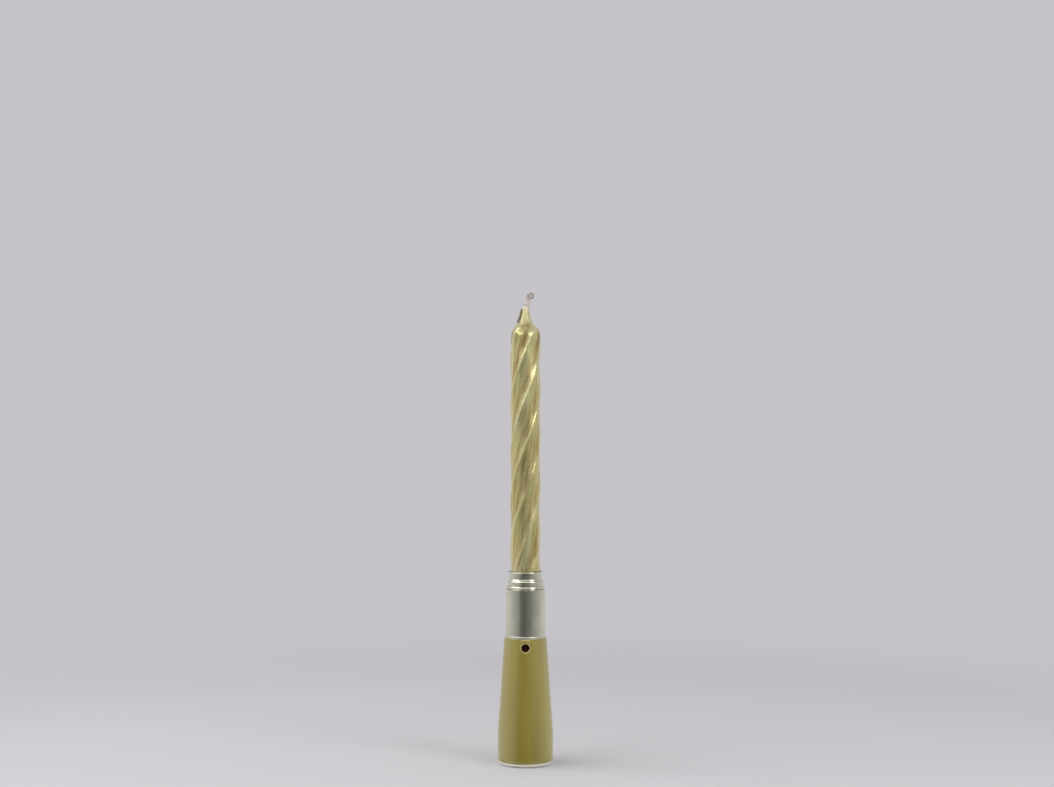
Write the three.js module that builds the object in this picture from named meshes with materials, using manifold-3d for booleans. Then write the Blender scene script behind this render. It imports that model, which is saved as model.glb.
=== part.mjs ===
// Musical birthday candle: a twisted gold wax candle with a wick and an optical fibre, held in a plated
// ferrule on a tapered base. The base hides a light sensor, a melody board, two button cells and a piezo
// disc, all stacked on the foot cap. Millimetres, +Z up, origin at the centre of the foot.
import * as THREE from 'three';
import { mergeVertices } from 'three/addons/utils/BufferGeometryUtils.js';
import Module from 'manifold-3d';

const wasm = await Module();
wasm.setup();

// Base shell: a straight skirt, a soft bend and a straight taper up to the ferrule's shoulder.
// It is as wide and as tall as what it covers needs.
const shellWall = 0.8;
const skirtTop = 4.9;
const bendHeight = 7.3;
const bendDrop = 0.16;
const taperStart = 9.5;
const shoulderLedge = 0.24;
const ceilingThickness = 1.0;
const portRadius = 0.95;
const portDrop = 2.0;

// Spigot of the base shell: it fills the ferrule, holds the candle's end and lets the sensor see the fibre
const spigotClearance = 0.1;
const spigotLength = 10.4;
const spigotWall = 0.83;
const cupClearance = 0.2;
const cupDepth = 4.8;
const cupFloor = 1.0;
const fibreHoleClearance = 0.07;

// Ferrule: thin plated tube with two beads, a neck and a flared lip
const ferruleWall = 0.22;
const ferruleLength = 15.3;
const ferruleRim = 0.08;
const ferruleRimHeight = 0.55;
const lipReach = 0.26;
const lipFlare = 0.5;
const neckClearance = 0.3;
const neckLength = 1.3;
const beadPitch = 1.3;
const beadRadius = 0.42;
const lowerBeadStep = 0.15;
const upperBeadStep = 0.35;
const beadSteps = 4;

// Wax candle: a five-ridged bar twisted right-handed, with a turned-down stub and a pointed tip
const ridgeRadius = 3.6;
const faceRadius = 3.33;
const ridgeCount = 5;
const ridgeSharpness = 2.4;
const twistLead = 55;
const frontRidgeHeight = 84.7;
const stubStep = 0.3;
const waxBodyLength = 55.3;
const tipShoulderHeight = 2.8;
const tipShoulderRadius = 1.85;
const coneRadius = 1.45;
const coneRim = 0.2;
const coneHeight = 3.06;
const coneStep = 0.2;
const stubBlend = 0.7;
const bodyStep = 1.3;

// Wick and optical fibre, side by side in the wax candle's bore
const strandClearance = 0.03;
const strandAzimuth = THREE.MathUtils.degToRad(25);
const wickRadius = 0.28;
const wickLean = 1.5;
const wickRise = 2.75;
const curlRadius = 0.45;
const curlTurn = THREE.MathUtils.degToRad(285);
const curlStart = THREE.MathUtils.degToRad(205);
const curlShift = 0.4;
const fibreRadius = 0.22;
const fibreProtrusion = 0.7;
const fibreHump = 0.55;
const fibreGap = 0.06;

// Foot cap with its plug ring
const capThickness = 1.4;
const capEdgeRadius = 1.3;
const plugHeight = 3.0;
const plugClearance = 0.1;
const plugWall = 0.94;
const grooveInner = 2.4;
const grooveOuter = 3.4;
const grooveDepth = 0.35;
const pryNotchWidth = 3.0;
const pryNotchHeight = 0.5;
const pryNotchDepth = 0.6;

// Piezo disc under its foam ring
const ledgeHeight = 0.5;
const ledgeWidth = 0.6;
const piezoClearance = 0.1;
const plateThickness = 0.2;
const ceramicRadius = 3.2;
const ceramicThickness = 0.2;
const foamWidth = 0.55;

// Button cells and their holder
const cellRadius = 3.95;
const cellHeight = 3.6;
const cellCapRadius = 3.0;
const cellEdge = 0.18;
const gasketStep = 0.4;
const cellClearance = 0.12;
const holderWall = 0.48;
const holderFloor = 0.6;
const holderFlangeGap = 0.25;
const contactThickness = 0.2;
const contactRadius = 2.5;
const contactPip = 0.9;
const contactPipHeight = 0.3;
const contactStripWidth = 1.2;
const contactSlotClearance = 0.3;
const contactStripTop = 3.0;

// Board carrier and circuit board
const carrierThickness = 0.8;
const boardWidth = 6.0;
const boardHeight = 12.3;
const boardThickness = 0.8;
const boardChamfer = 0.5;
const boardClearance = 0.2;
const postHeight = 4.8;
const postGrip = 0.5;
const postWall = 0.45;
const postClearance = 0.06;

// Parts soldered to the board; heights are measured from the board's lower edge
const chipRadius = 2.0;
const chipHeight = 0.95;
const chipAt = 6.6;
const transistorSize = [2.9, 0.9, 1.3];
const transistorLead = 0.42;
const transistorLeadThickness = 0.2;
const transistorAt = 9.2;
const resistorSize = [1.7, 0.5, 0.9];
const capacitorSize = [2.0, 0.9, 1.25];
const passiveAt = 5.9;
const passiveSpacing = 1.4;
const endCapWidth = 0.36;
const endCapStep = 0.04;

// Phototransistor and its light shield
const sensorRadius = 1.5;
const sensorFlangeRadius = 1.9;
const sensorFlangeHeight = 1.0;
const sensorHeight = 5.2;
const sensorStandOff = 2.5;
const sensorLegWidth = 0.4;
const sensorLegPitch = 2.0;
const sensorLegLap = 1.6;
const shieldClearance = 0.1;
const shieldWall = 0.5;
const shieldTopGap = 0.3;

// Insulated leads
const leadRadius = 0.18;
const leadWallGap = 0.08;
const leadRoom = 0.65;
const leadSeatGap = 0.05;
const leadNotchWidth = 0.9;
const leadNotchHeight = 1.6;
const piezoLeadSpread = THREE.MathUtils.degToRad(35);
const piezoLeadStart = 2.4;
const piezoPadHeight = 3.1;
const batteryPadHeight = 2.2;
const piezoPadSpacing = 1.7;

// Fineness
const outerSegments = 40;
const innerSegments = 32;
const boreSides = 16;
const strandSides = 8;
const leadSides = 6;

// Heights that follow from the sizes above, stacked up from the foot
const plugTop = capThickness + plugHeight;
const plateBottom = capThickness + ledgeHeight;
const ceramicBottom = plateBottom + plateThickness;
const holderFloorTop = plugTop + holderFloor;
const lowerCellBottom = holderFloorTop + contactThickness + contactPipHeight;
const upperCellBottom = lowerCellBottom + cellHeight;
const cellsTop = upperCellBottom + cellHeight;
const carrierBottom = cellsTop + contactThickness;
const boardBottom = carrierBottom + carrierThickness;
const boardTop = boardBottom + boardHeight;
const sensorBottom = boardTop + sensorStandOff;
const sensorBoreTop = sensorBottom + sensorHeight + shieldTopGap;
const cupBottom = sensorBoreTop + cupFloor;
const spigotTop = cupBottom + cupDepth;
const shoulderHeight = spigotTop - spigotLength;
const ferruleTop = shoulderHeight + ferruleLength;
const ceilingHeight = shoulderHeight - ceilingThickness;
const portHeight = shoulderHeight - portDrop;
const waxBodyTop = ferruleTop + waxBodyLength;
const coneBottom = waxBodyTop + tipShoulderHeight;
const waxTop = coneBottom + coneHeight;

// Radii that follow, from the button cells outwards
const holderInner = cellRadius + cellClearance;
const holderOuter = holderInner + holderWall;
const leadCircle = holderOuter + leadWallGap + leadRadius;
const cavityRadius = leadCircle + leadRadius + leadRoom;
const footRadius = cavityRadius + shellWall;
const taperStartRadius = footRadius - bendDrop;
const plugRadius = cavityRadius - plugClearance;
const plugInner = plugRadius - plugWall;
const plateRadius = plugInner - piezoClearance;

// Radii that follow, from the wax candle outwards
const stubRadius = ridgeRadius - stubStep;
const cupRadius = stubRadius + cupClearance;
const spigotRadius = cupRadius + spigotWall;
const ferruleBore = spigotRadius + spigotClearance;
const ferruleRadius = ferruleBore + ferruleWall;
const shoulderRadius = ferruleRadius + shoulderLedge;
const neckRadius = stubRadius + neckClearance + ferruleWall;
const lipRadius = neckRadius + lipReach;
const lowerBeadReach = ferruleRadius - lowerBeadStep;
const upperBeadReach = ferruleRadius - upperBeadStep;
const strandOffset = wickRadius + strandClearance;
const boreRadius = strandOffset + wickRadius + strandClearance;
const coneTopRadius = boreRadius + coneRim;
const fibreHoleRadius = strandOffset + fibreRadius + fibreHoleClearance;
const sensorBoreRadius = boardWidth / 2 + boardClearance;
const boardFace = boardThickness / 2;

// Finishes
function finish(color, roughness, metalness) {
  return new THREE.MeshStandardMaterial({ color, roughness, metalness });
}
const goldWax = finish(0xa59b6e, 0.35, 0.7);
const goldPlastic = finish(0x8d8344, 0.4, 0.5);
const platedSteel = finish(0xb4b4ac, 0.15, 1);
const cotton = finish(0xd8cdb8, 0.9, 0);
const clearFibre = finish(0x6f6a52, 0.3, 0);
const brownPlastic = finish(0x703028, 0.6, 0);
const whitePlastic = finish(0xdedad0, 0.5, 0);
const brass = finish(0xc8a451, 0.3, 1);
const ceramicGrey = finish(0xc9c6bd, 0.6, 0);
const foamGrey = finish(0x3c3c3e, 0.95, 0);
const steel = finish(0xc4c6c8, 0.25, 1);
const boardGreen = finish(0x1f6b3a, 0.5, 0);
const epoxyBlack = finish(0x121212, 0.35, 0);
const resistorBlack = finish(0x22252a, 0.45, 0);
const capacitorTan = finish(0xb08d64, 0.5, 0);
const sensorResin = finish(0x20242c, 0.2, 0);
const redPvc = finish(0xb3262a, 0.5, 0);
const blackPvc = finish(0x202022, 0.5, 0);

// Geometry helpers
function solidOf(geometry) {
  const bare = geometry.clone();
  bare.deleteAttribute('normal');
  bare.deleteAttribute('uv');
  const merged = mergeVertices(bare);
  return new wasm.Manifold(new wasm.Mesh({
    numProp: 3,
    vertProperties: new Float32Array(merged.attributes.position.array),
    triVerts: new Uint32Array(merged.index.array),
  }));
}

function geometryOf(solid) {
  const mesh = solid.getMesh();
  const geometry = new THREE.BufferGeometry();
  geometry.setAttribute('position', new THREE.BufferAttribute(mesh.vertProperties, 3));
  geometry.setIndex(new THREE.BufferAttribute(mesh.triVerts, 1));
  return geometry;
}

function turned(profile, segments) {
  const points = profile.map(([radius, height]) => new THREE.Vector2(radius, height));
  return new THREE.LatheGeometry(points, segments).rotateX(Math.PI / 2);
}

function ring(inner, outer, bottom, top, segments) {
  const corner = [inner, bottom];
  return turned([corner, [outer, bottom], [outer, top], [inner, top], corner], segments);
}

function disc(radius, bottom, top, segments) {
  return turned([[0, bottom], [radius, bottom], [radius, top], [0, top]], segments);
}

function block(low, high) {
  const size = high.map((value, axis) => value - low[axis]);
  return new THREE.BoxGeometry(...size).translate(...high.map((value, axis) => (value + low[axis]) / 2));
}

function joined(...geometries) {
  return geometryOf(geometries.map(solidOf).reduce((sum, solid) => sum.add(solid)));
}

function cut(geometry, ...tools) {
  return geometryOf(tools.map(solidOf).reduce((rest, tool) => rest.subtract(tool), solidOf(geometry)));
}

function strand(points, radius, steps, sides) {
  const section = new THREE.Shape();
  section.setFromPoints(circlePoints(radius, sides));
  const extrudePath = new THREE.CatmullRomCurve3(points, false, 'centripetal');
  return new THREE.ExtrudeGeometry(section, { steps, extrudePath, curveSegments: 1 });
}

function circlePoints(radius, sides) {
  return Array.from({ length: sides }, (_, side) => {
    const angle = (2 * Math.PI * side) / sides;
    return new THREE.Vector2(radius * Math.cos(angle), radius * Math.sin(angle));
  });
}

function around(azimuth, radius, height) {
  return new THREE.Vector3(radius * Math.cos(azimuth), radius * Math.sin(azimuth), height);
}

// Base shell
function shellOutline(inset) {
  const path = new THREE.Path();
  path.moveTo(footRadius - inset, capThickness);
  path.lineTo(footRadius - inset, skirtTop);
  path.quadraticCurveTo(footRadius - inset, bendHeight, taperStartRadius - inset, taperStart);
  const taper = (taperStartRadius - shoulderRadius) / (shoulderHeight - taperStart);
  const top = inset > 0 ? ceilingHeight : shoulderHeight;
  path.lineTo(taperStartRadius - inset - taper * (top - taperStart), top);
  return path.getPoints(4).map((point) => [point.x, point.y]);
}

function baseShell() {
  const outside = shellOutline(0);
  const inside = shellOutline(shellWall).reverse();
  const body = turned([
    ...outside,
    [spigotRadius, shoulderHeight],
    [spigotRadius, spigotTop],
    [cupRadius, spigotTop],
    [cupRadius, cupBottom],
    [fibreHoleRadius, cupBottom],
    [fibreHoleRadius, sensorBoreTop],
    [sensorBoreRadius, sensorBoreTop],
    [sensorBoreRadius, ceilingHeight],
    ...inside,
    outside[0],
  ], outerSegments);
  const reach = 2 * shellWall;
  const port = new THREE.CylinderGeometry(portRadius, portRadius, 2 * reach, boreSides);
  port.translate(0, -shoulderRadius, portHeight);
  return cut(body, port);
}

// Ferrule
function beadArc(reach, centreHeight) {
  return Array.from({ length: beadSteps + 1 }, (_, step) => {
    const angle = Math.PI * (step / beadSteps - 0.5);
    return [reach - beadRadius + beadRadius * Math.cos(angle), centreHeight + beadRadius * Math.sin(angle)];
  });
}

function ferrule() {
  const neckBottom = ferruleTop - lipFlare - neckLength;
  const upperBead = neckBottom - beadRadius;
  const lowerBead = upperBead - beadPitch;
  const barrelTop = lowerBead - 2 * beadRadius;
  const rimTop = shoulderHeight + ferruleRimHeight;
  const start = [ferruleBore, shoulderHeight];
  return turned([
    start,
    [ferruleRadius + ferruleRim, shoulderHeight],
    [ferruleRadius + ferruleRim, rimTop],
    [ferruleRadius, rimTop + ferruleRim],
    [ferruleRadius, barrelTop],
    ...beadArc(lowerBeadReach, lowerBead),
    ...beadArc(upperBeadReach, upperBead),
    [neckRadius, neckBottom],
    [neckRadius, ferruleTop - lipFlare],
    [lipRadius, ferruleTop],
    [lipRadius - ferruleWall, ferruleTop],
    [neckRadius - ferruleWall, ferruleTop - lipFlare],
    [neckRadius - ferruleWall, neckBottom - ferruleWall],
    [ferruleBore, barrelTop],
    start,
  ], outerSegments);
}

// Wax candle: a turned bar whose faces are then drawn in between its ridges and twisted
function waxProfile() {
  const bodyBottom = ferruleTop - lipFlare;
  const turns = Math.round(waxBodyLength / bodyStep);
  const body = Array.from({ length: turns + 1 }, (_, level) => {
    const share = level / turns;
    return [ridgeRadius, ferruleTop + waxBodyLength * share];
  });
  return [
    [0, cupBottom],
    [stubRadius, cupBottom],
    [stubRadius, bodyBottom - stubBlend],
    [(stubRadius + ridgeRadius) / 2, bodyBottom],
    ...body,
    [tipShoulderRadius, coneBottom],
    [coneRadius, coneBottom + coneStep],
    [coneTopRadius, waxTop],
    [0, waxTop],
  ];
}

function waxCandle() {
  const bar = turned(waxProfile(), outerSegments);
  const place = bar.attributes.position;
  const ridgeDepth = 1 - faceRadius / ridgeRadius;
  for (let i = 0; i < place.count; i += 1) {
    const radius = Math.hypot(place.getX(i), place.getY(i));
    const height = place.getZ(i);
    const angle = Math.atan2(place.getY(i), place.getX(i));
    const lift = ((1 + Math.cos(ridgeCount * angle)) / 2) ** ridgeSharpness;
    const twisted = THREE.MathUtils.smoothstep(height, ferruleTop - lipFlare - stubBlend, ferruleTop);
    const lobed = radius * (1 - twisted * ridgeDepth * (1 - lift));
    const twist = (2 * Math.PI * (height - frontRidgeHeight)) / twistLead - Math.PI / 2;
    place.setXYZ(i, lobed * Math.cos(angle + twist), lobed * Math.sin(angle + twist), height);
  }
  const margin = 1;
  const bore = disc(boreRadius, cupBottom - margin, waxTop + margin, boreSides);
  return cut(bar, bore);
}

// Wick: straight through the wax, then leaning over into a small curl
function wick() {
  const foot = around(strandAzimuth, strandOffset, 0);
  const straightTop = waxTop - coneHeight / 2;
  const stem = disc(wickRadius, cupBottom, waxTop - coneHeight / 4, strandSides);
  stem.translate(foot.x, foot.y, 0);
  const centre = new THREE.Vector3(wickLean, 0, waxTop + wickRise);
  const curlSteps = 8;
  const curl = Array.from({ length: curlSteps + 1 }, (_, step) => {
    const angle = curlStart - (curlTurn * step) / curlSteps;
    const back = (curlShift * step) / curlSteps;
    return new THREE.Vector3(
      centre.x + curlRadius * Math.cos(angle), back, centre.z + curlRadius * Math.sin(angle));
  });
  const lean = strand([
    new THREE.Vector3(foot.x, foot.y, straightTop),
    new THREE.Vector3(foot.x, foot.y, waxTop),
    new THREE.Vector3(foot.x + wickRadius / 2, foot.y, waxTop + wickRadius),
    new THREE.Vector3((foot.x + curl[0].x) / 2, foot.y / 2, waxTop + wickRise / 2),
    ...curl,
  ], wickRadius, 36, strandSides);
  return joined(stem, lean);
}

// Optical fibre: from just above the light sensor to the tip, its free end folded down the cone
function opticalFibre() {
  const azimuth = strandAzimuth + Math.PI;
  const foot = around(azimuth, strandOffset, 0);
  const stem = disc(fibreRadius, cupBottom - fibreProtrusion, waxTop - coneHeight / 4, strandSides);
  stem.translate(foot.x, foot.y, 0);
  const off = fibreRadius + fibreGap;
  const tail = strand([
    around(azimuth, strandOffset, waxTop - coneHeight / 2),
    around(azimuth, strandOffset, waxTop + fibreRadius),
    around(azimuth, (strandOffset + coneTopRadius + off) / 2, waxTop + fibreHump),
    around(azimuth, coneTopRadius + off + fibreGap, waxTop),
    around(azimuth, (coneTopRadius + coneRadius) / 2 + off + fibreGap, waxTop - coneHeight / 2),
    around(azimuth, tipShoulderRadius + off, coneBottom + coneStep + fibreRadius / 2),
  ], fibreRadius, 20, strandSides);
  return joined(stem, tail);
}

// Foot cap
function footCap() {
  const edge = new THREE.Path();
  edge.moveTo(footRadius - capEdgeRadius, 0);
  edge.absarc(footRadius - capEdgeRadius, capEdgeRadius, capEdgeRadius, -Math.PI / 2, 0, false);
  const rounded = edge.getPoints(6).map((point) => [point.x, point.y]);
  const body = turned([
    [0, 0],
    [grooveInner, 0],
    [grooveInner, grooveDepth],
    [grooveOuter, grooveDepth],
    [grooveOuter, 0],
    ...rounded,
    [footRadius, capThickness],
    [plugRadius, capThickness],
    [plugRadius, plugTop],
    [plugInner, plugTop],
    [plugInner, plateBottom],
    [plugInner - ledgeWidth, plateBottom],
    [plugInner - ledgeWidth, capThickness],
    [0, capThickness],
  ], outerSegments);
  const notch = block(
    [-pryNotchWidth / 2, footRadius - pryNotchDepth, capThickness - pryNotchHeight],
    [pryNotchWidth / 2, footRadius + pryNotchDepth, capThickness + pryNotchHeight]);
  return cut(body, notch);
}

// Button cells and contacts
function buttonCell(bottom) {
  const top = bottom + cellHeight;
  return turned([
    [0, bottom],
    [cellCapRadius, bottom],
    [cellCapRadius, bottom + gasketStep],
    [cellRadius - cellEdge, bottom + gasketStep],
    [cellRadius, bottom + gasketStep + cellEdge],
    [cellRadius, top - cellEdge],
    [cellRadius - cellEdge, top],
    [0, top],
  ], innerSegments);
}

function leadNotch(azimuth) {
  const notch = block(
    [contactRadius + contactThickness, -leadNotchWidth / 2, plugTop - holderFloor],
    [cavityRadius, leadNotchWidth / 2, holderFloorTop + leadNotchHeight]);
  return notch.rotateZ(azimuth);
}

function cellHolder() {
  const flange = cavityRadius - holderFlangeGap;
  const body = turned([
    [0, plugTop],
    [flange, plugTop],
    [flange, holderFloorTop],
    [holderOuter, holderFloorTop],
    [holderOuter, carrierBottom],
    [holderInner, carrierBottom],
    [holderInner, holderFloorTop],
    [0, holderFloorTop],
  ], innerSegments);
  const tabSlot = block(
    [-contactStripWidth / 2 - contactSlotClearance, contactRadius, holderFloorTop],
    [contactStripWidth / 2 + contactSlotClearance, cavityRadius, holderFloorTop + leadNotchHeight]);
  const back = Math.PI / 2;
  return cut(body, tabSlot, leadNotch(back + piezoLeadSpread), leadNotch(back - piezoLeadSpread));
}

function negativeContact() {
  const plate = disc(contactRadius, holderFloorTop, holderFloorTop + contactThickness, innerSegments);
  const pip = disc(contactPip, holderFloorTop, lowerCellBottom, boreSides);
  const tab = block(
    [-contactStripWidth / 2, 0, holderFloorTop],
    [contactStripWidth / 2, leadCircle + leadRadius, holderFloorTop + contactThickness]);
  return joined(plate, pip, tab);
}

function positiveContact() {
  const plate = disc(contactRadius, cellsTop, carrierBottom, innerSegments);
  const strip = block(
    [-contactStripWidth / 2, -boardFace - contactThickness, cellsTop],
    [contactStripWidth / 2, -boardFace, boardBottom + contactStripTop]);
  return joined(plate, strip);
}

// Board carrier: a lid on the cell holder with two grooved posts for the board's edges
function boardPost(side) {
  const inner = boardWidth / 2 - postGrip;
  const outer = boardWidth / 2 + postClearance + postWall;
  const depth = boardFace + postClearance + postWall;
  const [near, far] = side > 0 ? [inner, outer] : [-outer, -inner];
  return block([near, -depth, carrierBottom], [far, depth, boardBottom + postHeight]);
}

function boardCarrier() {
  const lid = disc(holderOuter, carrierBottom, boardBottom, innerSegments);
  const slotHalf = contactStripWidth / 2 + contactSlotClearance;
  const stripSlot = block(
    [-slotHalf, -boardFace - contactThickness - contactSlotClearance, carrierBottom - carrierThickness],
    [slotHalf, -boardFace + contactSlotClearance, boardBottom + carrierThickness]);
  const boardRoom = block(
    [-boardWidth / 2 - postClearance, -boardFace - postClearance, boardBottom],
    [boardWidth / 2 + postClearance, boardFace + postClearance, boardTop]);
  return cut(joined(lid, boardPost(1), boardPost(-1)), stripSlot, boardRoom);
}

function circuitBoard() {
  const half = boardWidth / 2;
  const outline = new THREE.Shape();
  outline.moveTo(-half, 0);
  outline.lineTo(half, 0);
  outline.lineTo(half, boardHeight - boardChamfer);
  outline.lineTo(half - boardChamfer, boardHeight);
  outline.lineTo(-half + boardChamfer, boardHeight);
  outline.lineTo(-half, boardHeight - boardChamfer);
  const board = new THREE.ExtrudeGeometry(outline, { depth: boardThickness, bevelEnabled: false });
  return board.rotateX(Math.PI / 2).translate(0, boardFace, boardBottom);
}

// Parts on the board
function melodyChip() {
  const points = [[0, 0], [1, 0], [0.9, 0.45], [0.6, 0.85], [0, 1]];
  const dome = points.map(([out, up]) => new THREE.Vector2(out * chipRadius, up * chipHeight));
  return new THREE.LatheGeometry(dome, innerSegments / 2).rotateX(Math.PI);
}

function driveTransistor() {
  const [width, depth, height] = transistorSize;
  const centre = boardBottom + transistorAt;
  const body = block(
    [-width / 2, boardFace + transistorLeadThickness / 2, centre - height / 2],
    [width / 2, boardFace + depth, centre + height / 2]);
  const lead = (x, side) => {
    const far = centre + side * (height / 2 + transistorLead);
    return block(
      [x - transistorLead / 2, boardFace, Math.min(centre, far)],
      [x + transistorLead / 2, boardFace + transistorLeadThickness, Math.max(centre, far)]);
  };
  return joined(body, lead(-width / 3, -1), lead(width / 3, -1), lead(0, 1));
}

function chipPassive([width, depth, height], x) {
  const bottom = boardBottom + passiveAt - height / 2;
  const body = block(
    [x - width / 2 + endCapWidth / 2, boardFace + endCapStep, bottom + endCapStep],
    [x + width / 2 - endCapWidth / 2, boardFace + depth - endCapStep, bottom + height - endCapStep]);
  const endCap = (near) => block(
    [near, boardFace, bottom],
    [near + endCapWidth, boardFace + depth, bottom + height]);
  return joined(body, endCap(x - width / 2), endCap(x + width / 2 - endCapWidth));
}

// Phototransistor: a domed lens body on a flange, with two legs jogged on to the board's front
function sensorLeg(x) {
  const half = sensorLegWidth / 2;
  const lapInner = -boardFace;
  const lapOuter = -boardFace - sensorLegWidth;
  const foot = boardTop - sensorLegLap;
  const jogTop = sensorBottom - sensorFlangeHeight / 2;
  const jogBottom = boardTop + sensorLegWidth;
  const outline = new THREE.Shape();
  outline.moveTo(lapOuter, foot);
  outline.lineTo(lapInner, foot);
  outline.lineTo(lapInner, jogBottom);
  outline.lineTo(half, jogTop);
  outline.lineTo(half, sensorBottom + sensorFlangeHeight / 2);
  outline.lineTo(-half, sensorBottom + sensorFlangeHeight / 2);
  outline.lineTo(-half, jogTop + half);
  outline.lineTo(lapOuter, jogBottom + half);
  const leg = new THREE.ExtrudeGeometry(outline, { depth: sensorLegWidth, bevelEnabled: false });
  const upright = new THREE.Matrix4().makeBasis(
    new THREE.Vector3(0, 1, 0), new THREE.Vector3(0, 0, 1), new THREE.Vector3(1, 0, 0));
  return leg.applyMatrix4(upright).translate(x - half, 0, 0);
}

function phototransistor() {
  const domeBottom = sensorBottom + sensorHeight - sensorRadius;
  const dome = new THREE.Path();
  dome.absarc(0, domeBottom, sensorRadius, 0, Math.PI / 2, false);
  const lens = turned([
    [0, sensorBottom],
    [sensorFlangeRadius, sensorBottom],
    [sensorFlangeRadius, sensorBottom + sensorFlangeHeight],
    [sensorRadius, sensorBottom + sensorFlangeHeight],
    ...dome.getPoints(5).map((point) => [Math.max(point.x, 0), point.y]),
  ], innerSegments / 2);
  return joined(lens, sensorLeg(-sensorLegPitch / 2), sensorLeg(sensorLegPitch / 2));
}

function lightShield() {
  const inner = sensorFlangeRadius + shieldClearance;
  return ring(inner, inner + shieldWall, boardTop, sensorBoreTop - shieldTopGap, innerSegments);
}

// Leads: up the outside of the cell holder, over the carrier and in to the board's back
function leadRise(azimuth) {
  return [
    around(azimuth, leadCircle, lowerCellBottom + cellHeight / 2),
    around(azimuth, leadCircle, upperCellBottom + cellHeight / 2),
    around(azimuth, leadCircle, carrierBottom),
    around(azimuth, leadCircle, boardBottom),
  ];
}

function padEnd(x, height) {
  const seat = boardFace + leadSeatGap;
  return [
    new THREE.Vector3(x, seat + 6 * leadRadius, boardBottom + height - 3 * leadRadius),
    new THREE.Vector3(x, seat + leadRadius, boardBottom + height),
    new THREE.Vector3(x, seat + leadRadius, boardBottom + height + 3 * leadRadius),
  ];
}

function piezoLead(side) {
  const azimuth = Math.PI / 2 - side * piezoLeadSpread;
  const start = ceramicBottom + ceramicThickness + leadSeatGap + leadRadius;
  return strand([
    around(azimuth, piezoLeadStart, start),
    around(azimuth, piezoLeadStart + 3 * leadRadius, start + leadRadius),
    around(azimuth, contactRadius + 4 * leadRadius, plugTop - leadRadius),
    around(azimuth, contactRadius + 6 * leadRadius, plugTop + 2 * leadRadius),
    around(azimuth, holderInner + leadRadius, holderFloorTop + leadRadius),
    around(azimuth, leadCircle, lowerCellBottom + leadNotchHeight / 2),
    ...leadRise(azimuth),
    ...padEnd(side * piezoPadSpacing, piezoPadHeight),
  ], leadRadius, 30, leadSides);
}

function batteryLead() {
  const back = Math.PI / 2;
  return strand([
    around(back, leadCircle, holderFloorTop + contactThickness + leadSeatGap),
    ...leadRise(back),
    ...padEnd(0, batteryPadHeight),
  ], leadRadius, 22, leadSides);
}

// The assembly
function piece(name, geometry, material) {
  const mesh = new THREE.Mesh(geometryOf(solidOf(geometry)), material);
  mesh.name = name;
  return mesh;
}

const holder = new THREE.Group();
holder.add(
  piece('base_shell', baseShell(), goldPlastic),
  piece('ferrule', ferrule(), platedSteel),
);

const candle = new THREE.Group();
candle.add(
  piece('wax_candle', waxCandle(), goldWax),
  piece('wick', wick(), cotton),
  piece('optical_fibre', opticalFibre(), clearFibre),
);

const power = new THREE.Group();
power.add(
  piece('foot_cap', footCap(), goldPlastic),
  piece('cell_holder', cellHolder(), whitePlastic),
  piece('negative_contact', negativeContact(), brass),
  piece('lower_button_cell', buttonCell(lowerCellBottom), steel),
  piece('upper_button_cell', buttonCell(upperCellBottom), steel),
  piece('positive_contact', positiveContact(), brass),
  piece('battery_lead', batteryLead(), blackPvc),
);

const sounder = new THREE.Group();
sounder.add(
  piece('piezo_plate', disc(plateRadius, plateBottom, ceramicBottom, innerSegments), brass),
  piece('piezo_ceramic',
    disc(ceramicRadius, ceramicBottom, ceramicBottom + ceramicThickness, innerSegments), ceramicGrey),
  piece('piezo_foam_ring', ring(plateRadius - foamWidth, plateRadius, ceramicBottom, plugTop, innerSegments),
    foamGrey),
  piece('piezo_lead_red', piezoLead(1), redPvc),
  piece('piezo_lead_black', piezoLead(-1), blackPvc),
);

const melodyBoard = new THREE.Group();
const chip = piece('melody_chip', melodyChip(), epoxyBlack);
chip.position.set(0, -boardFace, boardBottom + chipAt);
melodyBoard.add(
  piece('board_carrier', boardCarrier(), whitePlastic),
  piece('circuit_board', circuitBoard(), boardGreen),
  chip,
  piece('drive_transistor', driveTransistor(), epoxyBlack),
  piece('bias_resistor', chipPassive(resistorSize, -passiveSpacing), resistorBlack),
  piece('filter_capacitor', chipPassive(capacitorSize, passiveSpacing), capacitorTan),
  piece('phototransistor', phototransistor(), sensorResin),
  piece('light_shield', lightShield(), brownPlastic),
);

const musicalCandle = new THREE.Group();
musicalCandle.add(holder, candle, power, sounder, melodyBoard);

export default musicalCandle;
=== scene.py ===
import math

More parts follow.
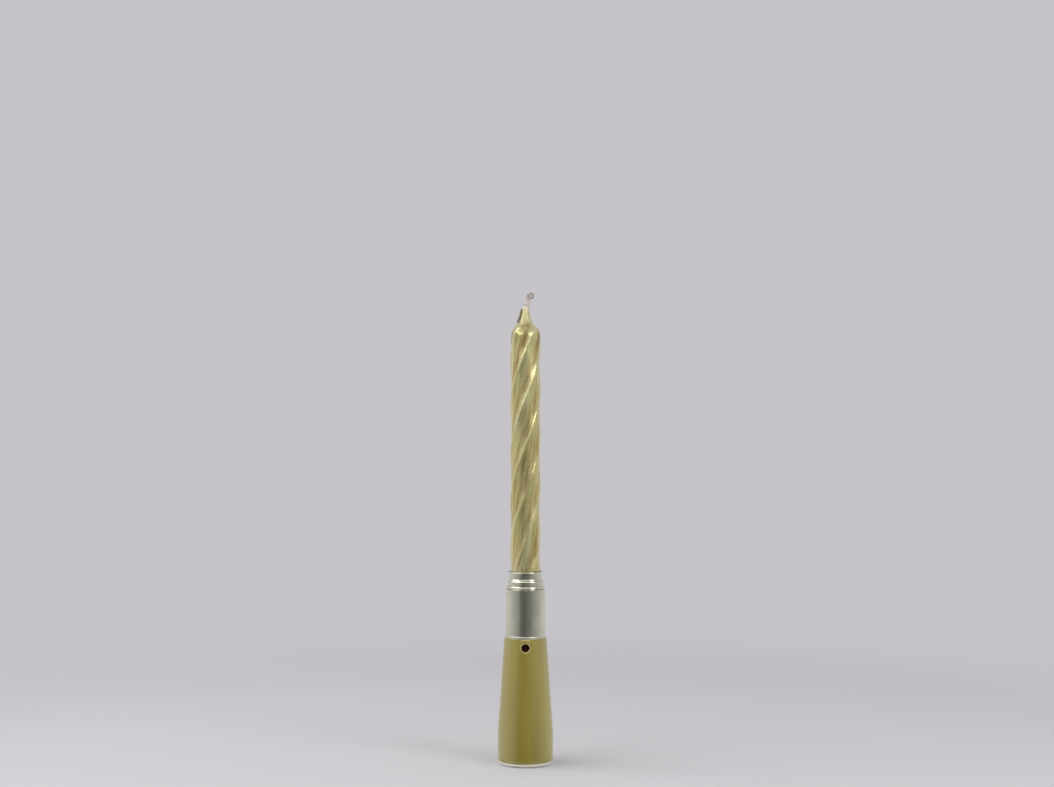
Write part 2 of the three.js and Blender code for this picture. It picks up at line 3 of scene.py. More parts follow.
import bpy
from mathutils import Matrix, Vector


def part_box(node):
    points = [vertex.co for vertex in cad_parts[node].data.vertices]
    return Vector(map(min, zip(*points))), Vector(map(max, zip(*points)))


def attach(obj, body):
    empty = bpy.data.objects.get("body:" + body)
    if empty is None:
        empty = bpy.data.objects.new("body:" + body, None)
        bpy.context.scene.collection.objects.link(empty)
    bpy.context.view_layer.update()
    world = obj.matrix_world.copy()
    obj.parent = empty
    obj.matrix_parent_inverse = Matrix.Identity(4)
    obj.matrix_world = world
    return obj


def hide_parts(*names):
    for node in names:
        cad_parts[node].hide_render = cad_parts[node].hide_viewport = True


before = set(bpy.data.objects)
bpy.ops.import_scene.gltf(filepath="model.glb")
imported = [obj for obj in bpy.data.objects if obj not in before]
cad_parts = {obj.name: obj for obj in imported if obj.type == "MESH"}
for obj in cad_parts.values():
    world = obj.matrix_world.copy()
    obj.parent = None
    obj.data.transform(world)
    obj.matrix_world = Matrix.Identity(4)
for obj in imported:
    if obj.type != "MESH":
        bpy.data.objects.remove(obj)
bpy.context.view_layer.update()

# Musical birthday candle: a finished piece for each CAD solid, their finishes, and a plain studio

mm = 0.001
roundSides = 128      # columns on the large turned pieces
smallSides = 64       # columns on the small ones
tinySides = 24        # columns on solder drops and vias
sink = 0.02           # mm that what stands on a face reaches into it
faceRing = 1.0        # mm, radius of the ring that closes a flat end
candleRange = (60, 160)  # mm of height that the wax's and the wick's fades are spread over


# Shader expressions: a node's output that can be added, multiplied and compared
class Wire:
    def __init__(self, graph, socket):
        self.graph, self.socket = graph, socket

    def __add__(self, other):
        return self.graph.maths("ADD", self, other)

    def __sub__(self, other):
        return self.graph.maths("SUBTRACT", self, other)

    def __rsub__(self, other):
        return self.graph.maths("SUBTRACT", other, self)

    def __mul__(self, other):
        return self.graph.maths("MULTIPLY", self, other)

    __radd__ = __add__


# A node tree under construction, of a material or of the world
class Graph:
    def __init__(self, tree):
        self.tree = tree

    def plug(self, node, inputs):
        for key, value in inputs.items():
            socket = node.inputs[key]
            if isinstance(value, Wire):
                self.tree.links.new(value.socket, socket)
            elif isinstance(value, tuple) and len(value) == 3 and socket.type == "RGBA":
                socket.default_value = (*value, 1)
            else:
                socket.default_value = value

    def node(self, kind, settings=None, inputs=None, output=0):
        made = self.tree.nodes.new(kind)
        for key, value in (settings or {}).items():
            if key == "stops":
                self.setStops(made.color_ramp, value)
            else:
                setattr(made, key, value)
        self.plug(made, inputs or {})
        return Wire(self, made.outputs[output]) if len(made.outputs) else None

    def setStops(self, ramp, stops):
        while len(ramp.elements) < len(stops):
            ramp.elements.new(1)
        for element, (place, color) in zip(ramp.elements, stops):
            element.position = place
            element.color = (*color, 1) if isinstance(color, tuple) else (color, color, color, 1)

    def maths(self, operation, first, second):
        return self.node("ShaderNodeMath", {"operation": operation}, {0: first, 1: second})

    def split(self, vector, name):
        return self.node("ShaderNodeSeparateXYZ", inputs={0: vector}, output=name)

    def length(self, vector):
        return self.node("ShaderNodeVectorMath", {"operation": "LENGTH"}, {0: vector}, "Value")

    def ramp(self, value, stops):
        return self.node("ShaderNodeValToRGB", {"stops": stops}, {0: value})

    def fade(self, value, stops, low, high):
        # a ramp over any range, with its stops in that range
        share = (value - low) * (1 / (high - low))
        return self.ramp(share, [((place - low) / (high - low), tone) for place, tone in stops])

    def softStep(self, value, low, high):
        return self.node("ShaderNodeMapRange", {"interpolation_type": "SMOOTHSTEP"},
                         {"Value": value, "From Min": low, "From Max": high})

    def blend(self, amount, first, second, mode="MIX"):
        return self.node("ShaderNodeMix", {"data_type": "RGBA", "blend_type": mode},
                         {0: amount, 6: first, 7: second}, output=2)

    def tinted(self, tone, tint):
        return self.blend(1.0, tone, tint, "MULTIPLY")

    def mixed(self, amount, first, second):
        return self.node("ShaderNodeMixShader", inputs={0: amount, 1: first, 2: second})

    def glow(self, color):
        return self.node("ShaderNodeEmission", inputs={"Color": color, "Strength": 1.0})


class Finish(Graph):
    def __init__(self, name, **sockets):
        self.material = bpy.data.materials.new(name)
        self.material.use_nodes = True
        super().__init__(self.material.node_tree)
        self.surface = next(n for n in self.tree.nodes if n.type == "BSDF_PRINCIPLED")
        self.output = next(n for n in self.tree.nodes if n.type == "OUTPUT_MATERIAL")
        self.set(sockets)

    def set(self, sockets):
        # socket names with their spaces written as underscores
        self.plug(self.surface, {key.replace("_", " "): value for key, value in sockets.items()})

    def place(self):
        return self.node("ShaderNodeTexCoord", output="Object")

    def height(self):
        # in mm
        return self.split(self.place(), "Z") * 1000

    def noise(self, size, detail=3, rough=0.5, stretch=(1, 1, 1), place=None):
        spot = self.node("ShaderNodeMapping", inputs={"Vector": place or self.place(), "Scale": stretch})
        return self.node("ShaderNodeTexNoise", {"normalize": True},
                         {"Vector": spot, "Scale": 1 / size, "Detail": detail, "Roughness": rough})

    def bump(self, height, depth, normal=None):
        inputs = {"Height": height, "Distance": depth, "Strength": 1.0}
        if normal is not None:
            inputs["Normal"] = normal
        return self.node("ShaderNodeBump", inputs=inputs)


def srgb(red, green, blue):
    def linear(value):
        share = value / 255
        return share / 12.92 if share <= 0.04045 else ((share + 0.055) / 1.055) ** 2.4
    return linear(red), linear(green), linear(blue)


# Modelling helpers
def deselectAll():
    if bpy.context.object and bpy.context.object.mode != "OBJECT":
        bpy.ops.object.mode_set(mode="OBJECT")
    bpy.ops.object.select_all(action="DESELECT")


def pick(piece, *others):
    # these alone are selected, and the first is active
    deselectAll()
    for each in (piece, *others):
        each.select_set(True)
    bpy.context.view_layer.objects.active = piece


def editAll():
    bpy.ops.object.mode_set(mode="EDIT")
    bpy.ops.mesh.select_all(action="SELECT")


def selectWhere(piece, test):
    # selects the vertices that pass a test; called and left in edit mode
    bpy.ops.mesh.select_all(action="DESELECT")
    bpy.ops.object.mode_set(mode="OBJECT")
    for vertex in piece.data.vertices:
        vertex.select = test(vertex)
    bpy.ops.object.mode_set(mode="EDIT")


def turnOutwards():
    # all faces look outwards, and edit mode ends
    bpy.ops.mesh.select_all(action="SELECT")
    bpy.ops.mesh.normals_make_consistent(inside=False)
    bpy.ops.object.mode_set(mode="OBJECT")


def pullUp(rise):
    # draws the selected ring up by a rise in mm, as a new ring
    bpy.ops.mesh.extrude_region_move(TRANSFORM_OT_translate={"value": (0, 0, rise * mm)})


def scaleAbout(centre, *shares):
    # scales what is selected about a point in mm
    bpy.ops.transform.resize(value=shares, center_override=[value * mm for value in centre])


def closeRings(closed):
    bpy.ops.mesh.select_all(action="DESELECT")
    bpy.ops.mesh.select_non_manifold()
    if closed == "bridge":
        bpy.ops.mesh.bridge_edge_loops()
    else:
        bpy.ops.mesh.fill_holes(sides=0)
    turnOutwards()


def turnedPiece(name, profile, sides=smallSides, closed="bridge"):
    # profile is a list of (radius, height) in mm, none on the axis; each ring is pulled out of the last
    deselectAll()
    radius, height = profile[0]
    bpy.ops.mesh.primitive_circle_add(vertices=sides, radius=radius * mm, location=(0, 0, height * mm))
    piece = bpy.context.object
    piece.name = name
    bpy.ops.object.transform_apply()
    editAll()
    for (near, low), (far, high) in zip(profile, profile[1:]):
        pullUp(high - low)
        scaleAbout((0, 0, high), far / near, far / near, 1)
    closeRings(closed)
    return piece


def blockPiece(name, low, high):
    # a box between two corners in mm
    deselectAll()
    middle = [(a + b) / 2 * mm for a, b in zip(low, high)]
    bpy.ops.mesh.primitive_cube_add(size=1, location=middle)
    piece = bpy.context.object
    piece.name = name
    piece.scale = [(b - a) * mm for a, b in zip(low, high)]
    bpy.ops.object.transform_apply()
    return piece


def rodPiece(name, radius, start, end):
    # a plain rod between two points in mm
    deselectAll()
    a, b = Vector(start) * mm, Vector(end) * mm
    bpy.ops.mesh.primitive_cylinder_add(vertices=smallSides, radius=radius * mm, depth=(b - a).length,
                                        location=(a + b) / 2)
    piece = bpy.context.object
    piece.name = name
    piece.rotation_euler = (b - a).to_track_quat("Z", "Y").to_euler()
    bpy.ops.object.transform_apply()
    return piece


def applyModifier(piece, kind, **settings):
    pick(piece)
    made = piece.modifiers.new(kind.title(), kind)
    for key, value in settings.items():
        setattr(made, key, value)
    bpy.ops.object.modifier_apply(modifier=made.name)


def combine(piece, operation, others):
    for other in others:
        applyModifier(piece, "BOOLEAN", operation=operation, object=other, solver="EXACT")
        bpy.data.objects.remove(other)
    return piece


def joinWith(piece, *others):
    # overlapping solids become one
    return combine(piece, "UNION", others)


def cutWith(piece, *others):
    return combine(piece, "DIFFERENCE", others)


def gather(piece, *others):
    # several bodies that stay apart become one object
    pick(piece, *others)
    bpy.ops.object.join()
    return piece


def roundEdges(piece, width, segments=3, angle=30):
    applyModifier(piece, "BEVEL", width=width * mm, segments=segments, limit_method="ANGLE",
                  angle_limit=math.radians(angle))


def smooth(piece, angle=35, weighted=True):
    # weighted normals keep the large faces flat beside small roundings
    pick(piece)
    bpy.ops.object.shade_smooth_by_angle(angle=math.radians(angle))
    if weighted:
        applyModifier(piece, "WEIGHTED_NORMAL", keep_sharp=True, weight=100)


def curvePiece(name, points, order, shares=None, **settings):
    # a smooth curve along points in mm, turned to mesh; shares thin it at each point
    curve = bpy.data.curves.new(name, "CURVE")
    for key, value in settings.items():
        setattr(curve, key, value)
    spline = curve.splines.new("NURBS")
    spline.points.add(len(points) - 1)
    for target, point, share in zip(spline.points, points, shares or [1.0] * len(points)):
        target.co = (*(Vector(point) * mm), 1)
        target.radius = share
    spline.order_u = order
    spline.use_endpoint_u = True
    piece = bpy.data.objects.new(name, curve)
    bpy.context.scene.collection.objects.link(piece)
    pick(piece)
    bpy.ops.object.convert(target="MESH")
    return bpy.context.object


def strandPiece(name, points, radius, resolution, sides, shares=None):
    # a round strand
    piece = curvePiece(name, points, 4, shares, dimensions="3D", bevel_depth=radius * mm,
                       bevel_resolution=sides // 4, resolution_u=resolution, use_fill_caps=True)
    editAll()
    bpy.ops.mesh.remove_doubles(threshold=1e-7)
    turnOutwards()
    smooth(piece, 60, False)
    return piece


def moveTo(piece, place, turn=(0, 0, 0)):
    # stands a piece at a place in mm, turned by Euler degrees, and puts that into its mesh
    pick(piece)
    piece.rotation_euler = [math.radians(degrees) for degrees in turn]
    piece.location = Vector(place) * mm
    bpy.ops.object.transform_apply()
    return piece


def stripPiece(name, line, width, thickness, side):
    # a metal strip bent along (y, z) points in mm, as wide in X as it is told, at one x
    ribbon = curvePiece(name, [(across, up, 0) for across, up in line], 3, dimensions="2D",
                        fill_mode="NONE", extrude=width / 2 * mm, resolution_u=6)
    piece = moveTo(ribbon, (side, 0, 0), (90, 0, 90))
    applyModifier(piece, "SOLIDIFY", thickness=thickness * mm, offset=0.0, use_even_offset=True)
    roundEdges(piece, thickness * 0.2, 2, 50)
    return piece


# A solder drop's outline and foot, as shares of its radius and height
solderShape = [(1.0, 0.12), (0.86, 0.45), (0.62, 0.76), (0.3, 0.96), (0.1, 1.0)]
solderFoot = 1.08


def solderDome(finishes, place, turn, radius, height):
    # a drop of solder that stands on a face
    profile = [(radius * solderFoot, -sink)] + [(radius * out, height * up) for out, up in solderShape]
    dome = turnedPiece("solderDome", profile, tinySides, "caps")
    smooth(dome, 60, False)
    return paint(moveTo(dome, place, turn), finishes["tin"])


def paint(piece, finish):
    piece.data.materials.clear()
    piece.data.materials.append(finish.material)
    return piece


def seat(piece, body, slotName, *nodes):
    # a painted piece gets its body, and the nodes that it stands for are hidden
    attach(piece, body)
    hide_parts(*nodes)
    return piece


def dress(piece, finish, body, slotName, *nodes):
    return seat(paint(piece, finish), body, slotName, *nodes)


def arc(centre, radius, start, end, steps):
    # points on an arc in the (radius, height) plane; angles in degrees, 0 points outwards
    turns = [math.radians(start + (end - start) * step / steps) for step in range(steps + 1)]
    return [(centre[0] + radius * math.cos(t), centre[1] + radius * math.sin(t)) for t in turns]


def discEdge(radius, bottom, top, edge):
    # a disc's rim from bottom to top, with both edges broken
    return [(radius - edge, bottom), (radius, bottom + edge), (radius, top - edge), (radius - edge, top)]


def boxOf(node):
    # a node's lowest and highest corner in mm
    low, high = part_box(node)
    return low / mm, high / mm


# Camera: level, at the photograph's height and distance
view = {  # lengths in mm
    "distance": 442.0,
    "height": 86.05,
    "side": 0.37,
    "lens": 64.9,
    "sensor": 36.0,
}


def makeCamera():
    lens = bpy.data.cameras.new("camera")
    lens.lens, lens.sensor_width = view["lens"], view["sensor"]
    lens.clip_start, lens.clip_end = 0.01, 20
    camera = bpy.data.objects.new("camera", lens)
    camera.location = (view["side"] * mm, -view["distance"] * mm, view["height"] * mm)
    camera.rotation_euler = (math.pi / 2, 0, 0)
    bpy.context.scene.collection.objects.link(camera)
    bpy.context.scene.camera = camera
    print("camera ready")


# Studio: a dark zone behind the camera, paler towards the sides and the back, a bright ceiling
studio = {  # lengths in m
    "backdrop": srgb(197, 195, 199),
    "floor": srgb(203, 201, 205),
    "floorNear": 0.10,
    "floorFar": 0.26,
    "round": [  # degrees to the right of the camera's side, and brightness
        (-180, 0.64), (-114, 0.72), (-95, 0.66), (-79, 0.55), (-51, 0.41), (-38, 0.33), (-27, 0.17),
        (-3, 0.13), (9, 0.18), (33, 0.25), (45, 0.33), (72, 0.46), (87, 0.52), (104, 0.66), (126, 0.68),
        (180, 0.64),
    ],
    "ceiling": 0.50,
    "ceilingFrom": 0.42,
    "ceilingTo": 0.70,
    "cardAway": 0.16,
    "cardHeight": 0.09,
    "mirrorGain": 1.25,  # the floor in reflections: the surroundings' tone times this
    "mirrorDrop": 0.08,  # less this
    "aim": 0.055,        # height that the lamps point at
}


def aroundTone(graph, direction):
    # brightness by the heading of a direction or a place
    turn = graph.maths("ARCTAN2", graph.split(direction, "X"), graph.split(direction, "Y") * -1)
    return graph.fade(turn * (180 / math.pi), studio["round"], -180, 180)


def makeWorld():
    world = bpy.data.worlds.new("studio")
    world.use_nodes = True
    world.node_tree.nodes.clear()
    bpy.context.scene.world = world
    air = Graph(world.node_tree)
    direction = air.node("ShaderNodeTexCoord", output="Generated")
    ceiling = air.softStep(air.split(direction, "Z"), studio["ceilingFrom"], studio["ceilingTo"])
    tone = air.blend(ceiling, aroundTone(air, direction), (studio["ceiling"],) * 3)
    lit = air.node("ShaderNodeBackground", inputs={"Color": tone, "Strength": 1.0})
    seen = air.node("ShaderNodeBackground", inputs={"Color": studio["backdrop"], "Strength": 1.0})
    ray = air.node("ShaderNodeLightPath", output="Is Camera Ray")
    air.node("ShaderNodeOutputWorld", inputs={0: air.mixed(ray, lit, seen)})


def makeFloor():
    deselectAll()
    bpy.ops.mesh.primitive_circle_add(vertices=96, radius=6, fill_type="NGON")
    floor = bpy.context.object
    floor.name = "floor"
    paper = Finish("paleFloor", Base_Color=studio["floor"], Roughness=0.9, Specular_IOR_Level=0.1)
    far = paper.softStep(paper.length(paper.place()), studio["floorNear"], studio["floorFar"])
    seen = paper.node("ShaderNodeLightPath", output="Is Camera Ray")
    faded = paper.mixed(far * seen, Wire(paper, paper.surface.outputs[0]), paper.glow(studio["backdrop"]))
    around = paper.tinted(aroundTone(paper, paper.place()), (studio["mirrorGain"],) * 3)
    around = paper.blend(1.0, around, (studio["mirrorDrop"],) * 3, "SUBTRACT")
    glossy = paper.node("ShaderNodeLightPath", output="Is Glossy Ray")
    paper.plug(paper.output, {0: paper.mixed(glossy, faded, paper.glow(around))})
    floor.data.materials.append(paper.material)


def makeCards():
    # a ring of cards round the object, dark in front, which only reflections see
    deselectAll()
    away, height = studio["cardAway"], studio["cardHeight"]
    bpy.ops.mesh.primitive_cylinder_add(vertices=96, radius=away, depth=height, end_fill_type="NOTHING",
                                        location=(0, 0, height / 2))
    cards = bpy.context.object
    cards.name = "reflectionCards"
    cards.visible_camera = cards.visible_diffuse = cards.visible_shadow = False
    cards.visible_transmission = cards.visible_volume_scatter = False
    bpy.ops.object.transform_apply()
    card = Finish("cardPaint")
    card.plug(card.output, {0: card.glow(aroundTone(card, card.place()))})
    cards.data.materials.append(card.material)


# Soft boxes: azimuth in degrees from the camera's side; rise, distance and size in m
lamps = [
    {"name": "frontBank", "azimuth": -6, "rise": 0.265, "away": 0.42, "size": (0.95, 0.13), "watts": 0.95},
    {"name": "keyBox", "azimuth": 48, "rise": 0.235, "away": 0.40, "size": (0.18, 0.13), "watts": 0.52},
    {"name": "leftBox", "azimuth": -80, "rise": 0.40, "away": 0.34, "size": (0.44, 0.40), "watts": 1.15},
]


def makeLamps():
    for lamp in lamps:
        light = bpy.data.lights.new(lamp["name"], "AREA")
        light.shape = "RECTANGLE"
        light.size, light.size_y = lamp["size"]
        light.energy = lamp["watts"]
        turn = math.radians(lamp["azimuth"])
        place = Vector((math.sin(turn) * lamp["away"], -math.cos(turn) * lamp["away"], lamp["rise"]))
        target = Vector((0, 0, studio["aim"]))
        stand = bpy.data.objects.new(lamp["name"], light)
        stand.location = place
        stand.rotation_mode = "QUATERNION"
        stand.rotation_quaternion = (target - place).to_track_quat("-Z", "Y")
        bpy.context.scene.collection.objects.link(stand)
    print("studio ready")


# Finishes
def goldWaxFinish():
    finish = Finish("goldWax", Sheen_Weight=0.12)
    height = finish.height()

    def turned(lead):
        # the place turned back by a twist, so that what runs up Z there follows the twist
        return finish.node("ShaderNodeVectorRotate", {"rotation_type": "Z_AXIS"},
                           {"Vector": finish.place(), "Angle": height * (-2 * math.pi / lead)})

    straight = turned(wax["lead"])
    streak = finish.noise(0.0011, 3, 0.55, (1, 1, 0.10), straight)
    drawn = finish.noise(0.00085, 2, 0.5, (1, 1, 0.045), turned(wax["looseLead"]))
    cloud = finish.noise(0.0035, 4, 0.6)
    grain = finish.noise(0.00022, 2, 0.5)
    # place runs from 0 to 1 from one ridge to the next
    perTurn = wax["ridges"] / 2 / math.pi
    turn = finish.maths("ARCTAN2", finish.split(straight, "Y"), finish.split(straight, "X")) * perTurn
    place = finish.maths("FRACT", turn + (streak - 0.5) * 0.16 + (10 - turnTo(0) * perTurn), 0.0)
    tone = finish.ramp(streak, wax["streakTones"])
    # painted shade: a dark brown band beside each ridge, with an olive tint on the face
    tone = finish.tinted(tone, finish.ramp(place, wax["ridgeTintsAndShade"]))
    dark = finish.ramp(drawn, wax["darkStreaks"]) * (1 - finish.ramp(place, wax["crest"]))
    tone = finish.blend(dark, tone, finish.tinted(tone, (0.68, 0.62, 0.43)))
    tone = finish.blend(finish.ramp(drawn, wax["paleStreaks"]), tone, srgb(232, 228, 184))
    # painted shade: the faces are darkened at the shoulder between the ridges, and made rougher to dim their
    # highlight
    creaseShade = finish.ramp(place, wax["creaseShade"]) * finish.fade(height, wax["creaseShadeHeight"], *candleRange)
    tone = finish.blend(creaseShade, tone, finish.tinted(tone, (0.50, 0.42, 0.30)))
    tone = finish.blend(cloud * 0.3, tone, srgb(214, 204, 142))
    tone = finish.blend(grain * 0.12, tone, srgb(236, 230, 190))
    bare = finish.fade(height + (cloud - 0.5) * 0.4, wax["bareHeight"], *candleRange)
    cone = finish.fade(height, wax["coneHeight"], *candleRange)
    tone = finish.blend(cone * 0.6, tone, srgb(186, 178, 140))
    lumps = finish.bump(streak, 0.00007, finish.bump(finish.noise(0.0024, 1, 0.4), 0.00004))
    finish.set({
        "Base_Color": finish.blend(bare, tone, srgb(222, 216, 198)),
        "Metallic": 0.75 - cone * 0.3 - bare * 0.45,
        "Roughness": 0.21 + cloud * 0.10 + grain * 0.03 + creaseShade * 0.30 + cone * 0.16 + bare * 0.12,
        "Normal": finish.bump(grain, 0.0000012, lumps),
    })
    return finish


def lacquerFinish():
    # satin lacquer over plastic, with a painted highlight as a pale ring round the port and on the foot's
    # rounding
    finish = Finish("goldLacquer", Metallic=0.04, IOR=2.6, Specular_Tint=(1.0, 0.97, 0.84),
                    Sheen_Weight=0.10, Sheen_Roughness=0.35, Sheen_Tint=(1.0, 0.96, 0.98))
    cloud = finish.noise(0.0035, 3, 0.5, (1, 1, 0.10))
    flake = finish.noise(0.00009, 1, 0.5)
    ragged = finish.noise(0.0010, 3) - 0.5
    tone = finish.ramp(cloud, [(0.3, srgb(131, 116, 12)), (0.7, srgb(144, 130, 18))])
    tone = finish.blend(flake * 0.05, tone, srgb(196, 184, 70))
    height = finish.height()
    # painted highlight: a pale ring round the port's edge, on the front only
    across, off = finish.split(finish.place(), "X") * 1000, height - shell["portHeight"]
    ring = finish.maths("SQRT", across * across + off * off, 0.0) + ragged * 0.12
    front = finish.maths("LESS_THAN", finish.split(finish.place(), "Y"), 0.0)
    portHighlightShare = finish.fade(ring, shell["portHighlight"], 0, 2) * front
    tone = finish.blend(portHighlightShare, tone, srgb(190, 184, 128))
    # painted highlight: the foot's rounding is painted pale
    foot = finish.ramp(height + ragged * 0.20, cap["footHighlight"])
    finish.set({
        "Base_Color": finish.blend(foot, tone, srgb(250, 248, 234)),
        "Roughness": 0.18 + cloud * 0.05 + flake * 0.04,
        "Normal": finish.bump(flake, 0.000004, finish.bump(finish.noise(0.0008, 2), 0.000012)),
    })
    return finish


def platedFinish():
    finish = Finish("platedFerrule", Metallic=1.0)
    haze = finish.noise(0.0030, 4, 0.6, (1, 1, 0.5))
    lines = finish.noise(0.0004, 3, 0.6, (1, 1, 0.08))
    flat = finish.node("ShaderNodeVectorMath", {"operation": "MULTIPLY"}, {0: finish.place(), 1: (1, 1, 0)})
    reach = finish.length(flat) * 1000
    low, high = boxOf("ferrule")
    height = finish.height() - low.z
    rim = finish.ramp(height, ferrule["rimFade"])
    # painted shade: the inside of the ferrule and the inner top of its lip are painted dark
    top, (start, end, further) = high.z - low.z, ferrule["lipShadeStep"]
    lipTop = finish.fade(height, [(top - start, 0.0), (top - end, further)], 0, 20)
    inside = finish.fade(reach - lipTop, ferrule["insideShade"], 0, 10)
    tone = finish.ramp(haze, [(0.3, srgb(202, 201, 184)), (0.8, srgb(222, 221, 206))])
    finish.set({
        "Base_Color": finish.blend(inside, tone, srgb(58, 46, 36)),
        "Roughness": 0.10 + haze * 0.10 + lines * 0.05 + inside * 0.4 + rim * 0.18,
        "Normal": finish.bump(finish.noise(0.0022, 2, 0.5), 0.00003),
    })
    return finish


def plainFinish(name, tone, roughness, size=0.0006, depth=0.000006, metallic=0.0):
    # slight tone change, slight grain
    finish = Finish(name, Metallic=metallic)
    cloud = finish.noise(size * 4, 3)
    color = srgb(*tone)
    shade = tuple(value * 0.88 for value in color)
    finish.set({
        "Base_Color": finish.ramp(cloud, [(0.3, shade), (0.7, color)]),
        "Roughness": roughness - 0.04 + cloud * 0.08,
        "Normal": finish.bump(finish.noise(size, 3), depth),
    })
    return finish


def cottonFinish():
    finish = Finish("waxedCotton", Roughness=0.62, Subsurface_Weight=0.15,
                    Subsurface_Radius=(0.0003, 0.0002, 0.0001))
    ply = finish.noise(0.00012, 3, 0.6, (1, 1, 0.3))
    tone = finish.ramp(ply, [(0.3, srgb(160, 149, 138)), (0.7, srgb(224, 215, 206))])
    grey = finish.fade(finish.height(), wick["greyHeight"], *candleRange)
    finish.set({
        "Base_Color": finish.blend(grey, tone, finish.tinted(tone, (0.66, 0.66, 0.64))),
        "Normal": finish.bump(ply, 0.00003),
    })
    return finish


def foamFinish():
    finish = Finish("greyFoam", Roughness=0.95, Specular_IOR_Level=0.2)
    pores = finish.node("ShaderNodeTexVoronoi", inputs={"Vector": finish.place(), "Scale": 1 / 0.00022})
    finish.set({
        "Base_Color": finish.ramp(pores, [(0.15, srgb(34, 34, 36)), (0.55, srgb(82, 82, 86))]),
        "Normal": finish.bump(pores, 0.00008),
    })
    return finish


def maskFinish(name, deep, pale):
    # solder mask: glossy green with the glass cloth's weave faintly raised
    finish = Finish(name)
    along = finish.noise(0.0007, 2, 0.4, (0.15, 1, 2.2))
    over = finish.noise(0.0007, 2, 0.4, (2.2, 1, 0.15))
    weave = along * 0.5 + over * 0.5
    finish.set({
        "Base_Color": finish.ramp(weave, [(0.4, deep), (0.6, pale)]),
        "Roughness": 0.22 + weave * 0.1,
        "Normal": finish.bump(weave, 0.00001),
    })
    return finish


# Moulded, pressed and painted stock: name, tone, roughness, then the grain's size and depth in m, metallic
stock = {
    "fibre": ("lacqueredFibre", (98, 90, 62), 0.3, 0.0002, 0.000004),
    "white": ("whiteMoulding", (222, 218, 208), 0.5),
    "brass": ("springBrass", (214, 182, 104), 0.3, 0.0003, 0.000003, 1.0),
    "ceramic": ("firedCeramic", (190, 180, 160), 0.6, 0.0002, 0.000004),
    "silver": ("silverCoat", (206, 206, 202), 0.45, 0.0002, 0.000006, 0.9),
    "steel": ("cellSteel", (205, 207, 210), 0.22, 0.0005, 0.000003, 1.0),
    "capSteel": ("capSteel", (188, 190, 194), 0.34, 0.0003, 0.000004, 1.0),
    "gasket": ("gasketPlastic", (56, 60, 70), 0.5),
    "laminate": ("bareLaminate", (196, 190, 140), 0.7, 0.0001, 0.000008),
    "whitePaint": ("markingPaint", (224, 226, 222), 0.6, 0.0001, 0.000004),
    "epoxy": ("potEpoxy", (24, 23, 24), 0.28, 0.0007, 0.00001),
    "case": ("mouldedCase", (36, 36, 38), 0.55, 0.00015, 0.000005),
    "resistor": ("glazedResistor", (34, 38, 46), 0.3),
    "capacitor": ("firedCapacitor", (186, 150, 108), 0.5),
    "tin": ("solderTin", (206, 208, 210), 0.3, 0.0002, 0.000006, 1.0),
    "resin": ("tintedResin", (40, 30, 44), 0.12),
    "shield": ("sleevePlastic", (112, 48, 40), 0.5, 0.0003, 0.00001),
    "red": ("redInsulation", (186, 34, 34), 0.4),
    "dark": ("blackInsulation", (30, 30, 32), 0.4),
}


def makeFinishes():
    return {
        "wax": goldWaxFinish(),
        "lacquer": lacquerFinish(),
        "plated": platedFinish(),
        "cotton": cottonFinish(),
        "foam": foamFinish(),
        "board": maskFinish("solderMask", srgb(20, 92, 46), srgb(30, 112, 58)),
        "track": maskFinish("maskedCopper", srgb(42, 134, 66), srgb(54, 150, 78)),
        **{key: plainFinish(*values) for key, values in stock.items()},
    }


# Base shell
shell = {
    "wall": 0.8,
    "round": 0.06,
    "skirtTop": 4.9,
    "bendHeight": 7.3,
    "bendTop": 9.5,
    "bendDrop": 0.16,
    "bendSteps": 12,
    "taperSteps": 8,
    "ledge": 0.24,
    "spigotRadius": 4.33,
    "ferruleRoom": 0.32,  # from the spigot to the ferrule's outside
    "cupRadius": 3.5,
    "cupDepth": 4.8,
    "floor": 1.0,
    "holeRadius": 0.6,
    "boreRadius": 3.2,
    "ceiling": 1.0,
    "portRadius": 0.95,
    "portHeight": 27.4,
    "portEdge": 0.14,
    "portEdgeDepth": 0.16,
    "portFace": 0.1,      # the port's face stands this far out of the shoulder
    "portHighlight": [(0.93, 0.0), (0.97, 0.75), (1.12, 0.75), (1.20, 0.0)],  # mm from its middle, and share of the painted highlight
    "drill": (-7, -3.4),  # y of the drill's ends
    "over": (0.8, 0.9),   # how far the countersink's cutter reaches past the face, sideways and out
}


def shellOutline(foot, bottom, shoulder, shoulderRadius, top):
    # skirt, soft bend and taper; foot is the radius at the bottom
    bendRadius, bendTop = foot - shell["bendDrop"], shell["bendTop"]
    outline = [(foot, bottom)]
    for step in range(shell["bendSteps"] + 1):
        t = step / shell["bendSteps"]
        before, at, after = (1 - t) ** 2, 2 * t * (1 - t), t ** 2
        outline.append((before * foot + at * foot + after * bendRadius,
                        before * shell["skirtTop"] + at * shell["bendHeight"] + after * bendTop))
    slope = (bendRadius - shoulderRadius) / (shoulder - bendTop)
    for step in range(1, shell["taperSteps"] + 1):
        rise = (top - bendTop) * step / shell["taperSteps"]
        outline.append((bendRadius - slope * rise, bendTop + rise))
    return outline


